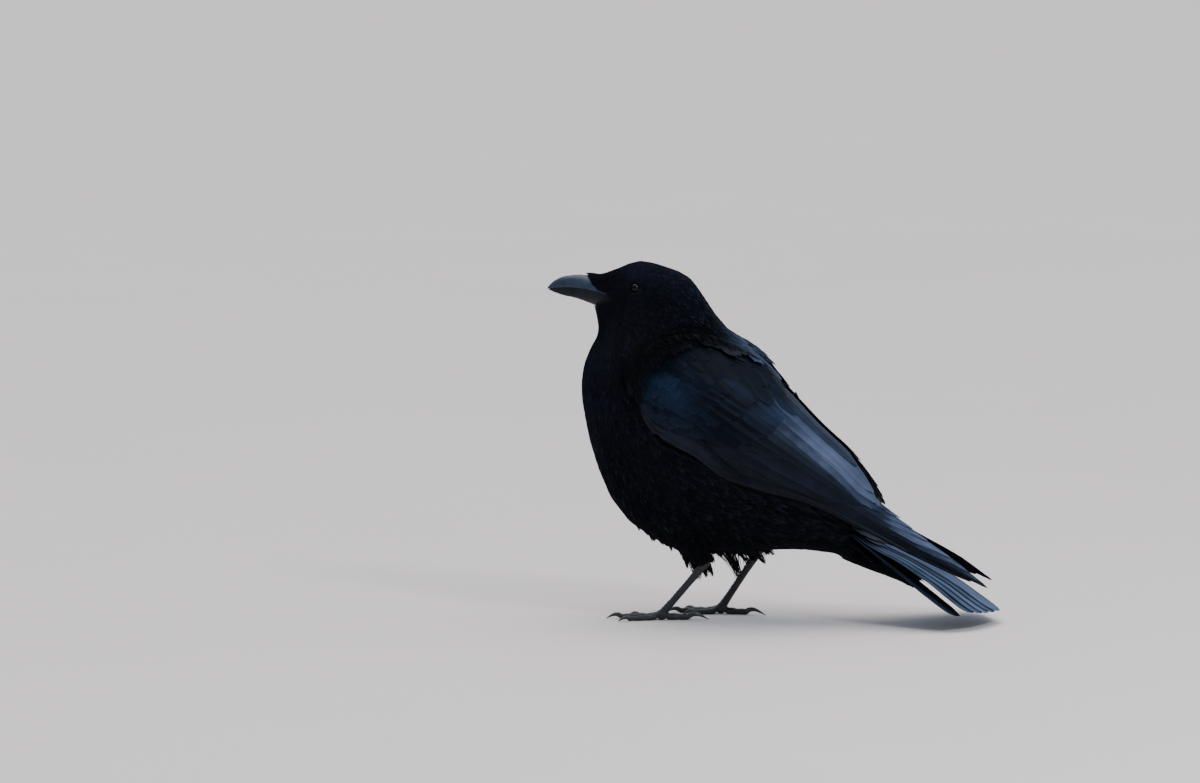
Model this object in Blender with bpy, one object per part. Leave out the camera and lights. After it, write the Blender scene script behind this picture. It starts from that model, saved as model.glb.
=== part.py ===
"""A carrion crow standing at rest, life size, as a set of closed solids.

The bird faces -X, its left side is towards -Y and Z is up. The origin is on the floor, under the
middle of its length. Every size below is in millimetres; MM turns them into Blender's metres.
"""

import math
from collections import namedtuple

import bmesh
import bpy
from mathutils import Vector

MM = 0.001
GAP = 0.3  # left between any two solids that meet
SIDES = {"left": -1, "right": 1}

# ---------------------------------------------------------------- driving sizes

# The body is one skin through these sections. Each lies in a plane square to the bird's middle
# plane, from a point on the upper outline to one on the lower outline, both as (x, z).
# "widest" is how far down that line the section is widest.
Section = namedtuple("Section", "place upper lower half_width widest")
BODY = (
    Section("bill root", (-147, 287.5), (-150, 261), 10.3, 0.50),
    Section("forehead", (-131, 293.5), (-148.5, 254), 13.4, 0.47),
    Section("crown", (-113, 300), (-147.5, 248), 18.2, 0.46),
    Section("hind crown", (-93, 296), (-147, 242), 21.8, 0.46),
    Section("nape", (-72, 287.5), (-148.5, 235), 26, 0.47),
    Section("hind neck", (-60, 272), (-153, 227), 31.5, 0.50),
    Section("shoulders", (-43, 248), (-159.5, 210), 42, 0.50),
    Section("mantle", (-18, 226), (-161, 190), 49, 0.50),
    Section("back", (6, 197), (-157.5, 165), 52.5, 0.50),
    Section("lower breast", (26, 170), (-148.5, 130), 53.5, 0.52),
    Section("belly", (43, 148), (-129, 90), 53, 0.54),
    Section("hip", (58, 127), (-92, 64), 49.5, 0.55),
    Section("vent", (69, 109), (-30, 58.5), 41, 0.55),
    Section("rump", (75, 96), (22, 60.5), 31, 0.52),
    Section("tail root", (77.5, 88), (59, 56.5), 24, 0.48),
)
HEAD_ENDS, NECK_ENDS, TRUNK_ENDS = 4.1, 6.2, 12.6  # where the skin is parted, in sections
BODY_SIDES = 24

BILL_TIP = Vector((-191, 0, 275.8))
# Along the bill: x, then the heights of its ridge, cutting edge and keel, then its half width.
Slice = namedtuple("Slice", "x ridge edge keel half_width")
BILL = (
    Slice(-188.5, 279.6, 276, 274.6, 1.5),
    Slice(-184, 283.3, 276.8, 272.6, 3.2),
    Slice(-176, 286.6, 277.6, 270.3, 5.2),
    Slice(-165, 287.9, 277.6, 267.9, 7.2),
    Slice(-154, 287.2, 276.3, 264, 8.9),
    Slice(-146, 285.8, 274.6, 261.4, 9.9),
    Slice(-139, 283, 272.6, 264, 8.5),
)
BILL_SIDES = 12
BRISTLES = (-163.5, -148.6)  # the nasal bristles' reach along the ridge, front and back
BRISTLE_DEPTH = 1.5

EYE_CENTRE, EYE_RADIUS = (-114, 14.8, 279), 5.3

# The folded wing is a shell over these ribs, from the bend of the wing to its tip. Each runs from
# the back down to the lower edge, as (x, distance from the middle plane, z), and bows outward.
Rib = namedtuple("Rib", "upper lower bow")
WING = (
    Rib((-113, 44, 222), (-112, 46.5, 204), 1.5),
    Rib((-103, 41.5, 233), (-105, 51, 179), 5),
    Rib((-84, 38.5, 241), (-92, 54.5, 159), 9),
    Rib((-60, 31.5, 242.5), (-77, 56.5, 151), 13),
    Rib((-36, 22.5, 234.5), (-57, 57, 143), 16),
    Rib((-11, 13, 221), (-31, 56.5, 126), 18),
    Rib((14, 8, 194.5), (-3, 53, 117), 16.5),
    Rib((40, 7.5, 166.5), (27, 45.5, 108.5), 12),
    Rib((66, 8.5, 142), (52, 38.5, 97.5), 8.5),
    Rib((86, 10.5, 117), (78, 32, 83), 5),
    Rib((98, 12.5, 100), (93, 28.5, 75), 3),
    Rib((125, 16.5, 80), (112, 26, 64.5), 1.6),
    Rib((150, 19.5, 63), (138, 24, 52), 1),
    Rib((170, 21, 47.5), (163, 22.6, 40.5), 0.5),
    Rib((184, 21.8, 35), (183.5, 22.2, 31), 0.1),
)
WING_FLOOR = -4.2  # how deep the wing is let into the body at its front
TIP_SHELL = -1.3  # and its thickness at the tip
# Ribs at which the tips of the fifth, sixth and seventh primaries step back from the longest.
PRIMARY_STEPS = (12.2, 12.9, 13.5)

TAIL_ROOT = Vector((32, 0, 100))
TAIL_PITCH = math.radians(30.3)
TAIL_STARTS = 46.0  # along the tail, where its feathers leave the rump
TAIL_LENGTHS = (183, 181, 178, 175, 171, 165)  # central pair to outermost
TAIL_WIDTHS = (31, 31, 30, 30, 29, 27)
TAIL_FAN = math.radians(18.0)  # how far the outermost is turned out
TAIL_CURVE_RADIUS = 700.0  # of the tail's arch across
VANE_THICKNESS = 0.6
TAIL_LAYERS = {"left": (0, 2, 4, 6, 8, 10), "right": (1, 3, 5, 7, 9, 11)}

# Each leg, as (x, y, z): where its thigh leaves the belly, its ankle and the ball of its foot.
Leg = namedtuple("Leg", "hip ankle ball")
LEGS = {
    "left": Leg((-80, -27, 98), (-54.5, -23, 48), (-91, -22, 4.8)),
    "right": Leg((-40, 27, 98), (-15, 23, 53), (-46.5, 22, 4.8)),
}
# Toe: heading from straight ahead (degrees, outward), length, radius, claw length.
Toe = namedtuple("Toe", "name heading length radius claw")
TOES = (
    Toe("hallux", 190, 23.5, 2.9, 16.5),
    Toe("inner", -27, 25, 2.5, 10.5),
    Toe("middle", -2, 36, 2.7, 11.5),
    Toe("outer", 24, 29, 2.4, 9.5),
)
TARSUS_RADIUS = 3.1
FOOT_HUB_RADIUS = 4.6

# ---------------------------------------------------------------- small tools


def mix(a, b, share):
    return a + (b - a) * share


def smooth(low, high, value):
    """0 below low, 1 above high and an even S between them."""
    share = min(1.0, max(0.0, (value - low) / (high - low)))
    return share * share * (3 - 2 * share)


def along(rows, place):
    """The row at a fractional place in a table of equal-length number tuples, on a smooth curve."""
    index = min(int(place), len(rows) - 2)
    share = place - index
    before, start, end, after = (
        rows[min(max(index + step, 0), len(rows) - 1)] for step in (-1, 0, 1, 2)
    )
    return [
        0.5
        * (
            2 * b
            + (c - a) * share
            + (2 * a - 5 * b + 4 * c - d) * share**2
            + (3 * b - a - 3 * c + d) * share**3
        )
        for a, b, c, d in zip(before, start, end, after)
    ]


def material(name, colour, roughness, metallic=0.0):
    made = bpy.data.materials.new(name)
    made.use_nodes = True
    shader = made.node_tree.nodes["Principled BSDF"]
    shader.inputs["Base Color"].default_value = (*colour, 1.0)
    shader.inputs["Roughness"].default_value = roughness
    shader.inputs["Metallic"].default_value = metallic
    return made


def finish(name, bm, finish_material):
    """Turns a bmesh in millimetres into a named, smooth-shaded object in metres."""
    bmesh.ops.recalc_face_normals(bm, faces=bm.faces)
    bmesh.ops.scale(bm, vec=(MM, MM, MM), verts=bm.verts)
    mesh = bpy.data.meshes.new(name)
    bm.to_mesh(mesh)
    bm.free()
    mesh.shade_smooth()
    mesh.set_sharp_from_angle(angle=math.radians(50))
    if finish_material:
        mesh.materials.append(finish_material)
    made = bpy.data.objects.new(name, mesh)
    bpy.context.scene.collection.objects.link(made)
    return made


def loft(name, rings, finish_material=None, tip=None):
    """One closed solid through rings of equally many points, ending on a face or on a tip."""
    bm = bmesh.new()
    rows = [[bm.verts.new(point) for point in ring] for ring in rings]
    for row, following in zip(rows, rows[1:]):
        for k in range(len(row)):
            j = (k + 1) % len(row)
            bm.faces.new((row[k], row[j], following[j], following[k]))
    bm.faces.new(rows[0])
    if tip is None:
        bm.faces.new(rows[-1])
    else:
        point = bm.verts.new(tip)
        for k, corner in enumerate(rows[-1]):
            bm.faces.new((corner, rows[-1][(k + 1) % len(rows[-1])], point))
    return finish(name, bm, finish_material)


def helper(obj):
    obj.hide_render = True
    obj.display_type = "WIRE"
    return obj


def grown(obj, by=GAP):
    """A hidden copy of obj, larger all round, for cutting its neighbour back from it."""
    bm = bmesh.new()
    bm.from_mesh(obj.data)
    bm.normal_update()
    moves = [vert.normal * by * MM * min(vert.calc_shell_factor(), 1.6) for vert in bm.verts]
    for vert, move in zip(bm.verts, moves):
        vert.co += move
    mesh = bpy.data.meshes.new(obj.name + "_room")
    bm.to_mesh(mesh)
    bm.free()
    copy = bpy.data.objects.new(mesh.name, mesh)
    bpy.context.scene.collection.objects.link(copy)
    return helper(copy)


def cut(obj, *cutters):
    for cutter in cutters:
        boolean = obj.modifiers.new("clear_of_" + cutter.name, "BOOLEAN")
        boolean.operation = "DIFFERENCE"
        boolean.solver = "EXACT"
        boolean.object = cutter


def tube(name, path, radii, finish_material, sides, tip=None, floor=None, flatten=1.0):
    """A round limb along a path of points. A floor flattens whatever would reach below it."""
    rings = []
    for index, (centre, radius) in enumerate(zip(path, radii)):
        ahead = path[min(index + 1, len(path) - 1)] - path[max(index - 1, 0)]
        side = ahead.cross(Vector((0, 0, 1))).normalized()
        up = side.cross(ahead).normalized()
        ring = []
        for k in range(sides):
            turn = math.tau * (k + 0.5) / sides
            point = centre + side * (radius * math.cos(turn))
            point += up * (radius * flatten * math.sin(turn))
            if floor is not None:
                point.z = max(point.z, floor)
            ring.append(point)
        rings.append(ring)
    return loft(name, rings, finish_material, tip)


# ---------------------------------------------------------------- body


def body_ring(place, shift=0.0):
    """The body's section at a fractional place, moved backwards by a shift."""
    rows = [(*s.upper, *s.lower, s.half_width, s.widest) for s in BODY]
    x1, z1, x2, z2, half_width, widest = along(rows, place)
    upper, lower = Vector((x1, 0, z1)), Vector((x2, 0, z2))
    down = (lower - upper).normalized()
    backward = down.cross(Vector((0, 1, 0)))
    ring = []
    for k in range(BODY_SIDES):
        turn = math.tau * k / BODY_SIDES
        depth = 1 - math.cos(turn)
        share = widest * depth if depth < 1 else widest + (1 - widest) * (depth - 1)
        point = upper.lerp(lower, share)
        point.y = half_width * math.sin(turn)
        ring.append(point + backward * shift)
    return ring


def body_piece(name, start, end, rows, plumage):
    """The skin between two places, with half the gap taken off each end."""
    places = [mix(start, end, k / rows) for k in range(rows + 1)]
    trims = [0.0] * (rows + 1)
    trims[0] = GAP / 2 if start > 0 else 0.0
    trims[-1] = -GAP / 2 if end < len(BODY) - 1 else 0.0
    rings = [body_ring(place, trim) for place, trim in zip(places, trims)]
    return loft(name, rings, plumage)


# ---------------------------------------------------------------- head


def bill_slice(place):
    rows = [(s.x, s.ridge, s.edge, s.keel, s.half_width) for s in BILL]
    return Slice(*along(rows, place))


def mandible_ring(place, upper, grow=0.0):
    """Half of the bill's section: a flat cutting edge below or above a rounded ridge or keel."""
    cross = bill_slice(place)
    far = cross.ridge - cross.edge if upper else cross.edge - cross.keel
    sign = 1 if upper else -1
    half_width = (cross.half_width if upper else cross.half_width * 0.9) + grow
    ring = []
    for k in range(BILL_SIDES):
        turn = math.pi * k / (BILL_SIDES - 1)
        height = (far + grow) * abs(math.sin(turn)) ** 0.85
        y = half_width * math.cos(turn)
        ring.append(Vector((cross.x, y, cross.edge + sign * (GAP / 2 + height))))
    return ring


def mandible(name, upper, horn):
    last = len(BILL) - 1
    places = [last * (1 - k / 8) for k in range(9)]
    tip = BILL_TIP if upper else BILL_TIP + Vector((1.6, 0, -1.0))
    return loft(name, [mandible_ring(p, upper) for p in places], horn, tip)


def nasal_bristles(plumage):
    """The tuft that lies forward from the forehead over the base of the upper mandible."""
    front, back = BRISTLES
    rows = 5
    rings = []
    for row in range(rows + 1):
        share = row / rows
        x = mix(back, front, share)
        place = next(p / 40 for p in range(241) if bill_slice(p / 40).x >= x)
        cross = bill_slice(place)
        reach = mix(0.78, 0.16, share)  # how far it hangs down each side
        depth = mix(BRISTLE_DEPTH, 0.6, share)
        outer, inner = [], []
        for k in range(9):
            turn = math.pi / 2 + (k / 4 - 1) * math.pi / 2 * reach
            for line, extra in ((outer, GAP + depth), (inner, GAP + 0.05)):
                height = (cross.ridge - cross.edge + extra) * abs(math.sin(turn)) ** 0.85
                y = (cross.half_width + extra) * math.cos(turn)
                line.append(Vector((x, y, cross.edge + GAP / 2 + height)))
        rings.append(outer + inner[::-1])
    return loft("nasal_bristles", rings, plumage)


def eye(side, ball):
    bm = bmesh.new()
    bmesh.ops.create_uvsphere(bm, u_segments=12, v_segments=8, radius=EYE_RADIUS)
    x, y, z = EYE_CENTRE
    bmesh.ops.translate(bm, verts=bm.verts, vec=(x, SIDES[side] * y, z))
    return finish(f"eye_{side}", bm, ball)


# ---------------------------------------------------------------- wings


def wing_point(side, rib, down, lift):
    """A point of the folded wing: down runs 0 to 1 from back to lower edge, lift is outward."""
    rows = [(*r.upper, *r.lower, r.bow) for r in WING]
    numbers = along(rows, rib)
    upper, lower, bow = Vector(numbers[:3]), Vector(numbers[3:6]), numbers[6]
    chord = lower - upper
    outward = Vector((0, 1, 0)) - chord * (chord.y / chord.length_squared)
    outward.normalize()
    point = upper + chord * down + outward * (bow * 4 * down * (1 - down) + lift)
    point.y *= SIDES[side]
    return point


def wing_floor(rib):
    """How deep the shell reaches at a rib."""
    return mix(WING_FLOOR, TIP_SHELL, smooth(8, 13, rib))


def wing_piece(name, side, ribs, spans, lifts, columns, plumage):
    """A patch of the wing. spans(rib) gives its upper and lower edge, lifts(rib) its two faces."""
    rings = []
    for rib in ribs:
        high, low = spans(rib)
        inner, outer = lifts(rib)
        shares = [mix(high, low, k / columns) for k in range(columns + 1)]
        ring = [wing_point(side, rib, share, outer) for share in shares]
        ring += [wing_point(side, rib, share, inner) for share in reversed(shares)]
        rings.append(ring)
    return loft(name, rings, plumage)


def steps(start, end, count):
    return [mix(start, end, k / count) for k in range(count + 1)]


def covert_edge(rib):
    """How far down the coverts reach: to the lower edge at the bend, then above the hand."""
    return mix(1.0, mix(0.72, 0.66, smooth(4.5, 5.8, rib)), smooth(0.5, 1.4, rib))


def primary_top(rib):
    """Upper edge of the primaries, stepping down past each shorter feather's tip."""
    top = mix(covert_edge(rib) + 0.02, 0.12, smooth(9.9, 10.6, rib))
    for tip in PRIMARY_STEPS:
        if rib > tip:
            top = mix(top, 1.0, 0.3)
    return top


def wing(side, plumage, gloss):
    """The nodes of one folded wing, and the room it takes out of the body."""
    floor = wing_floor
    name = f"wing_{side}_"
    wing_piece(
        f"scapulars_{side}",
        side,
        steps(1.3, 6.55, 10),
        lambda r: (0.01, mix(0.36, 0.04, smooth(4.6, 6.8, r)) * smooth(0.4, 2.2, r)),
        lambda r: (GAP + 0.7, mix(1.7, 3.0, smooth(1.2, 3.0, r))),
        4,
        plumage,
    )
    wing_piece(
        name + "coverts",
        side,
        steps(0.0, 5.85, 12),
        lambda r: (0.0, covert_edge(r)),
        lambda r: (floor(r), 0.0),
        6,
        gloss,
    )
    wing_piece(
        name + "primary_coverts",
        side,
        steps(1.6, 5.3, 7),
        lambda r: (covert_edge(r) + 0.012, 1.0),
        lambda r: (floor(r), -0.6),
        2,
        gloss,
    )
    wing_piece(
        name + "tertials",
        side,
        steps(5.88, 10.1, 8),
        lambda r: (mix(0.0, 0.12, smooth(9, 10.1, r)), mix(0.33, 0.2, smooth(8.6, 10.1, r))),
        lambda r: (floor(r), -0.2),
        3,
        gloss,
    )
    wing_piece(
        name + "secondaries",
        side,
        steps(5.88, 9.8, 7),
        lambda r: (
            mix(0.345, 0.5, smooth(8.8, 9.8, r)),
            mix(0.66, 0.6, smooth(8.8, 9.8, r)),
        ),
        lambda r: (floor(r), -0.8),
        3,
        gloss,
    )
    primary_ribs = [5.33, 6.2, 7.1, 8.0, 9.0, 9.9, 10.3, 10.7, 11.4]
    for tip in PRIMARY_STEPS:
        primary_ribs += [tip, tip + 0.03]
    wing_piece(
        name + "primaries",
        side,
        primary_ribs + [13.85, 14.0],
        lambda r: (primary_top(r), 1.0),
        lambda r: (floor(r), -2.0 * (1 - smooth(9.5, 11.5, r))),
        3,
        gloss,
    )
    room = wing_piece(
        name + "room",
        side,
        steps(-0.12, 12.0, 24),
        lambda r: (-0.03, 1.03),
        lambda r: (floor(r) - 3 * GAP, 9.0),
        8,
        None,
    )
    return helper(room)


# ---------------------------------------------------------------- tail


def tail_point(length, across, height):
    """A point in the tail's own frame: along it, out from the middle, and up off its face."""
    back, up = math.cos(TAIL_PITCH), math.sin(TAIL_PITCH)
    height -= across * across / (2 * TAIL_CURVE_RADIUS)
    x = TAIL_ROOT.x + length * back + height * up
    z = TAIL_ROOT.z - length * up + height * back
    return Vector((x, across, z))


def tail_feather(side, number, gloss):
    """One rectrix, a thin vane laid on the tail's arch, layer upon layer from the middle out."""
    turn = TAIL_FAN * number / 5.3 + 0.012
    length, width = TAIL_LENGTHS[number], TAIL_WIDTHS[number]
    height = -TAIL_LAYERS[side][number] * (VANE_THICKNESS + GAP)
    rows, columns = 6, 2
    rings = []
    for row in range(rows + 1):
        share = mix(TAIL_STARTS / length, 1.0, row / rows)
        spread = smooth(0.02, 0.5, share) * math.sqrt(max(0.012, 1 - share**14))
        half = width / 2 * mix(0.4, 1.0, spread)
        if row == rows:
            half = width * 0.11
        ring = []
        for face, order in ((0, range(columns + 1)), (-VANE_THICKNESS, range(columns, -1, -1))):
            for k in order:
                offset = half * (2 * k / columns - 1)
                back = length * share * math.cos(turn) - offset * math.sin(turn)
                out = 0.9 * (number + 0.6) + length * share * math.sin(turn)
                out += offset * math.cos(turn)
                ring.append(tail_point(max(back, TAIL_STARTS), SIDES[side] * out, height + face))
        rings.append(ring)
    return loft(f"tail_feather_{side}_{number + 1}", rings, gloss)


def undertail_coverts(plumage):
    """The wedge of soft feathers below the tail, thinning out along it."""
    top = -(max(TAIL_LAYERS["right"]) + 1) * (VANE_THICKNESS + GAP)
    rings = []
    for length, bottom, half in (
        (TAIL_STARTS, -27.5, 22),
        (62, -24.5, 23),
        (80, -21, 22),
        (97, -17, 17),
        (110, -13.5, 9),
    ):
        ring = []
        for k in range(9):
            turn = math.pi * k / 8
            across = half * math.cos(turn)
            ring.append(tail_point(length, across, mix(top - GAP, bottom, math.sin(turn))))
        for k in range(1, 4):
            ring.append(tail_point(length, half * (k / 2 - 1), top - GAP))
        rings.append(ring)
    return loft("undertail_coverts", rings, plumage)


# ---------------------------------------------------------------- legs


def thigh(side, plumage):
    """The feathered lower thigh, from inside the belly to the ankle."""
    leg = LEGS[side]
    hip, ankle = Vector(leg.hip), Vector(leg.ankle)
    reach = [0.0, 0.3, 0.55, 0.75, 0.9, 1.0]
    radii = [20, 19, 16, 11.5, 7.5, 4.6]
    path = [hip.lerp(ankle, share) for share in reach]
    return tube(f"thigh_{side}", path, radii, plumage, 14)


def shin(side, scales):
    """The bare tarsus, from just below the ankle to the ball of the foot."""
    leg = LEGS[side]
    ankle, ball = Vector(leg.ankle), Vector(leg.ball)
    down = (ball - ankle).normalized()
    start, end = ankle + down * (GAP + 1.2), ball - down * 4.0
    shares = [0, 0.1, 0.3, 0.6, 0.85, 1.0]
    radii = [4.0, 3.7, TARSUS_RADIUS, TARSUS_RADIUS, 3.4, 4.0]
    return tube(f"tarsus_{side}", [start.lerp(end, s) for s in shares], radii, scales, 10)


def foot_hub(side, scales):
    """The ball of the foot, a flattened knob that stands on the floor."""
    bm = bmesh.new()
    bmesh.ops.create_uvsphere(bm, u_segments=10, v_segments=7, radius=FOOT_HUB_RADIUS)
    ball = Vector(LEGS[side].ball)
    for vert in bm.verts:
        vert.co = Vector((vert.co.x * 1.15, vert.co.y, vert.co.z * 1.1)) + ball
        vert.co.z = max(vert.co.z, 0.0)
    return finish(f"foot_{side}", bm, scales)


def toe(side, kind, scales, horn):
    """One toe, padded under each joint and flat on the floor, and its curved claw."""
    ball = Vector(LEGS[side].ball)
    turn = math.radians(kind.heading)
    heading = Vector((-math.cos(turn), SIDES[side] * math.sin(turn), 0))
    path, radii = [], []
    count = 6
    for k in range(count + 1):
        share = k / count
        radius = kind.radius * mix(1.12, 0.78, share) * (1 + 0.1 * math.cos(share * 3 * math.tau))
        height = mix(ball.z, kind.radius * 0.7, smooth(0.0, 0.35, share))
        path.append(Vector((ball.x, ball.y, height)) + heading * (1.0 + kind.length * share))
        radii.append(radius)
    made = tube(f"toe_{side}_{kind.name}", path, radii, scales, 8, floor=0.0)

    start = path[-1] + heading * (GAP + 0.25 * kind.radius)
    curve, sizes = [], []
    for k in range(4):
        share = k / 4
        rise = 1.6 * math.sin(math.pi * min(1, share * 1.15)) - 1.2 * share**2
        curve.append(start + heading * (kind.claw * share) + Vector((0, 0, rise)))
        sizes.append(kind.radius * mix(0.72, 0.2, share))
    point = start + heading * kind.claw + Vector((0, 0, 0.5 - start.z))
    tube(f"claw_{side}_{kind.name}", curve, sizes, horn, 6, tip=point, floor=0.0)
    return made


# ---------------------------------------------------------------- the whole bird


def centre_on_origin():
    """Slides everything, cutters too, so that the bird's box is centred over the origin."""
    shown = [obj for obj in bpy.data.objects if not obj.hide_render]
    corners = [vert.co for obj in shown for vert in obj.data.vertices]
    for axis in (0, 1):
        values = [corner[axis] for corner in corners]
        middle = (min(values) + max(values)) / 2
        for obj in bpy.data.objects:
            obj.location[axis] -= middle


def main():
    for obj in list(bpy.data.objects):
        bpy.data.objects.remove(obj)

    plumage = material("plumage", (0.012, 0.012, 0.015), 0.62)
    gloss = material("flight_feathers", (0.02, 0.025, 0.04), 0.4)
    horn = material("bill_horn", (0.035, 0.036, 0.04), 0.38)
    scales = material("leg_scales", (0.03, 0.031, 0.035), 0.55)
    nail = material("claws", (0.025, 0.024, 0.025), 0.3)
    ball = material("eyes", (0.02, 0.012, 0.008), 0.05)

    head = body_piece("head", 0, HEAD_ENDS, 8, plumage)
    neck = body_piece("neck", HEAD_ENDS, NECK_ENDS, 4, plumage)
    trunk = body_piece("trunk", NECK_ENDS, TRUNK_ENDS, 11, plumage)
    rump = body_piece("rump", TRUNK_ENDS, len(BODY) - 1, 4, plumage)

    upper = mandible("bill_upper", True, horn)
    lower = mandible("bill_lower", False, horn)
    nasal_bristles(plumage)
    cut(head, grown(upper), grown(lower))
    for side in SIDES:
        cut(head, grown(eye(side, ball)))

    for side in SIDES:
        room = wing(side, plumage, gloss)
        cut(neck, room)
        cut(trunk, room)
        cut(rump, room)

    for side in SIDES:
        for number in range(len(TAIL_LENGTHS)):
            tail_feather(side, number, gloss)
    undertail_coverts(plumage)

    belly = grown(trunk)
    for side in SIDES:
        upper_leg = thigh(side, plumage)
        tarsus = shin(side, scales)
        hub = foot_hub(side, scales)
        cut(upper_leg, belly)
        cut(tarsus, grown(upper_leg), grown(hub))
        taken = [grown(hub), grown(tarsus)]
        for kind in TOES:
            made = toe(side, kind, scales, nail)
            cut(made, *taken)
            taken.append(grown(made))
    centre_on_origin()


main()
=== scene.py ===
"""The looks of a life-size carrion crow standing at rest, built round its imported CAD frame.

The bird faces -X, its left side is towards -Y and Z is up. Sizes are in millimetres in the frame
of its CAD source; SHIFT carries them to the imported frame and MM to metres. Everything random is
drawn from one seeded generator. Plumage is solid mesh: thin closed vanes and blades.
"""

import math
from collections import namedtuple

import bmesh
import bpy
import numpy as np
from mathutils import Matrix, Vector, kdtree
from mathutils.bvhtree import BVHTree


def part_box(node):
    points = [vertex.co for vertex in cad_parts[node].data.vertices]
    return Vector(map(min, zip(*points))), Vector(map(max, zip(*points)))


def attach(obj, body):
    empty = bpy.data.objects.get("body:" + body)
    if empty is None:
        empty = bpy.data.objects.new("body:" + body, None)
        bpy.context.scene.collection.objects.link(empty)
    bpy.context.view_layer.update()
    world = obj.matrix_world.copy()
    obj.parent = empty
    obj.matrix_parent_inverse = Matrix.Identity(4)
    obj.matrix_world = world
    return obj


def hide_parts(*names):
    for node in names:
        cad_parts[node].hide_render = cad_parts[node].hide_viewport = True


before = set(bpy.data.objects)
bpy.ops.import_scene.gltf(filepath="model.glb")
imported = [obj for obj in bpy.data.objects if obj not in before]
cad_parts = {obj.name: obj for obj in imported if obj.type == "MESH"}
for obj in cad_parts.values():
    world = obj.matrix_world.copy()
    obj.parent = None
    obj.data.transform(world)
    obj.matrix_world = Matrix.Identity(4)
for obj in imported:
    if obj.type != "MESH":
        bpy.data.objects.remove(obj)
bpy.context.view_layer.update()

MM = 0.001
RNG = np.random.default_rng(7)
SIDES = {"left": -1, "right": 1}
EYE = np.array((-114.0, 14.8, 279.0))  # centre of the right eyeball
EYE_RADIUS = 5.3
LEFT_EYE_BOX = np.array(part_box("eye_left"))
SHIFT = LEFT_EYE_BOX.mean(0) / MM - EYE * (1, -1, 1)

# ---------------------------------------------------------------- shapes shared with the CAD source

# The folded wing's ribs from bend to tip: upper end and lower end as (x, distance from the middle
# plane, z), then how far it bows outward between them.
WING = (
    (-113, 44, 222, -112, 46.5, 204, 1.5),
    (-103, 41.5, 233, -105, 51, 179, 5),
    (-84, 38.5, 241, -92, 54.5, 159, 9),
    (-60, 31.5, 242.5, -77, 56.5, 151, 13),
    (-36, 22.5, 234.5, -57, 57, 143, 16),
    (-11, 13, 221, -31, 56.5, 126, 18),
    (14, 8, 194.5, -3, 53, 117, 16.5),
    (40, 7.5, 166.5, 27, 45.5, 108.5, 12),
    (66, 8.5, 142, 52, 38.5, 97.5, 8.5),
    (86, 10.5, 117, 78, 32, 83, 5),
    (98, 12.5, 100, 93, 28.5, 75, 3),
    (125, 16.5, 80, 112, 26, 64.5, 1.6),
    (150, 19.5, 63, 138, 24, 52, 1),
    (170, 21, 47.5, 163, 22.6, 40.5, 0.5),
    (184, 21.8, 35, 183.5, 22.2, 31, 0.1),
)

TAIL_ROOT = np.array((32.0, 0.0, 100.0))
TAIL_PITCH = math.radians(30.3)
TAIL_LENGTHS = (183, 181, 178, 175, 171, 165)  # central pair to outermost
TAIL_WIDTHS = (31, 31, 30, 30, 29, 27)
TAIL_FAN = math.radians(18.0)
TAIL_CURVE_RADIUS = 700.0
TAIL_STARTS = 30.0  # hidden under the rump's feathers
LAYER = 0.9  # from one tail feather's face down to the next one's in the CAD source
CLOSER = 0.55  # how far apart the vanes' faces lie here, as a share of that
HANGING = ("left", 5)  # the one feather that droops below the others
TAIL_LAYERS = {"left": (0, 2, 4, 6, 8, 10), "right": (1, 3, 5, 7, 9, 11)}

# Along the bill: x, heights of ridge, cutting edge and keel, half width. The last two rows lie
# under the feathers of the face.
BILL = (
    (-188.5, 279.6, 276.0, 274.6, 1.5),
    (-184, 283.3, 276.8, 272.6, 3.2),
    (-176, 286.6, 277.6, 270.3, 5.2),
    (-165, 287.9, 277.6, 267.9, 7.2),
    (-154, 287.2, 276.3, 264, 8.9),
    (-146, 285.8, 274.6, 261.4, 10.1),
    (-139, 283, 272.6, 262.2, 11.2),
    (-131, 279, 270.0, 264.0, 11.9),
)
BILL_TIP = np.array((-191.0, 0.0, 275.8))

LEGS = {
    "left": ((-80, -27, 98), (-54.5, -23, 48), (-91, -22, 4.8)),
    "right": ((-40, 27, 98), (-15, 23, 53), (-46.5, 22, 4.8)),
}
# Toe: heading from straight ahead (degrees, outward), length, radius, claw length.
TOES = {
    "hallux": (190, 23.5, 2.9, 16.5),
    "inner": (-27, 25, 2.5, 10.5),
    "middle": (-2, 36, 2.7, 11.5),
    "outer": (24, 29, 2.4, 9.5),
}

# ---------------------------------------------------------------- the lie of the coat

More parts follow.
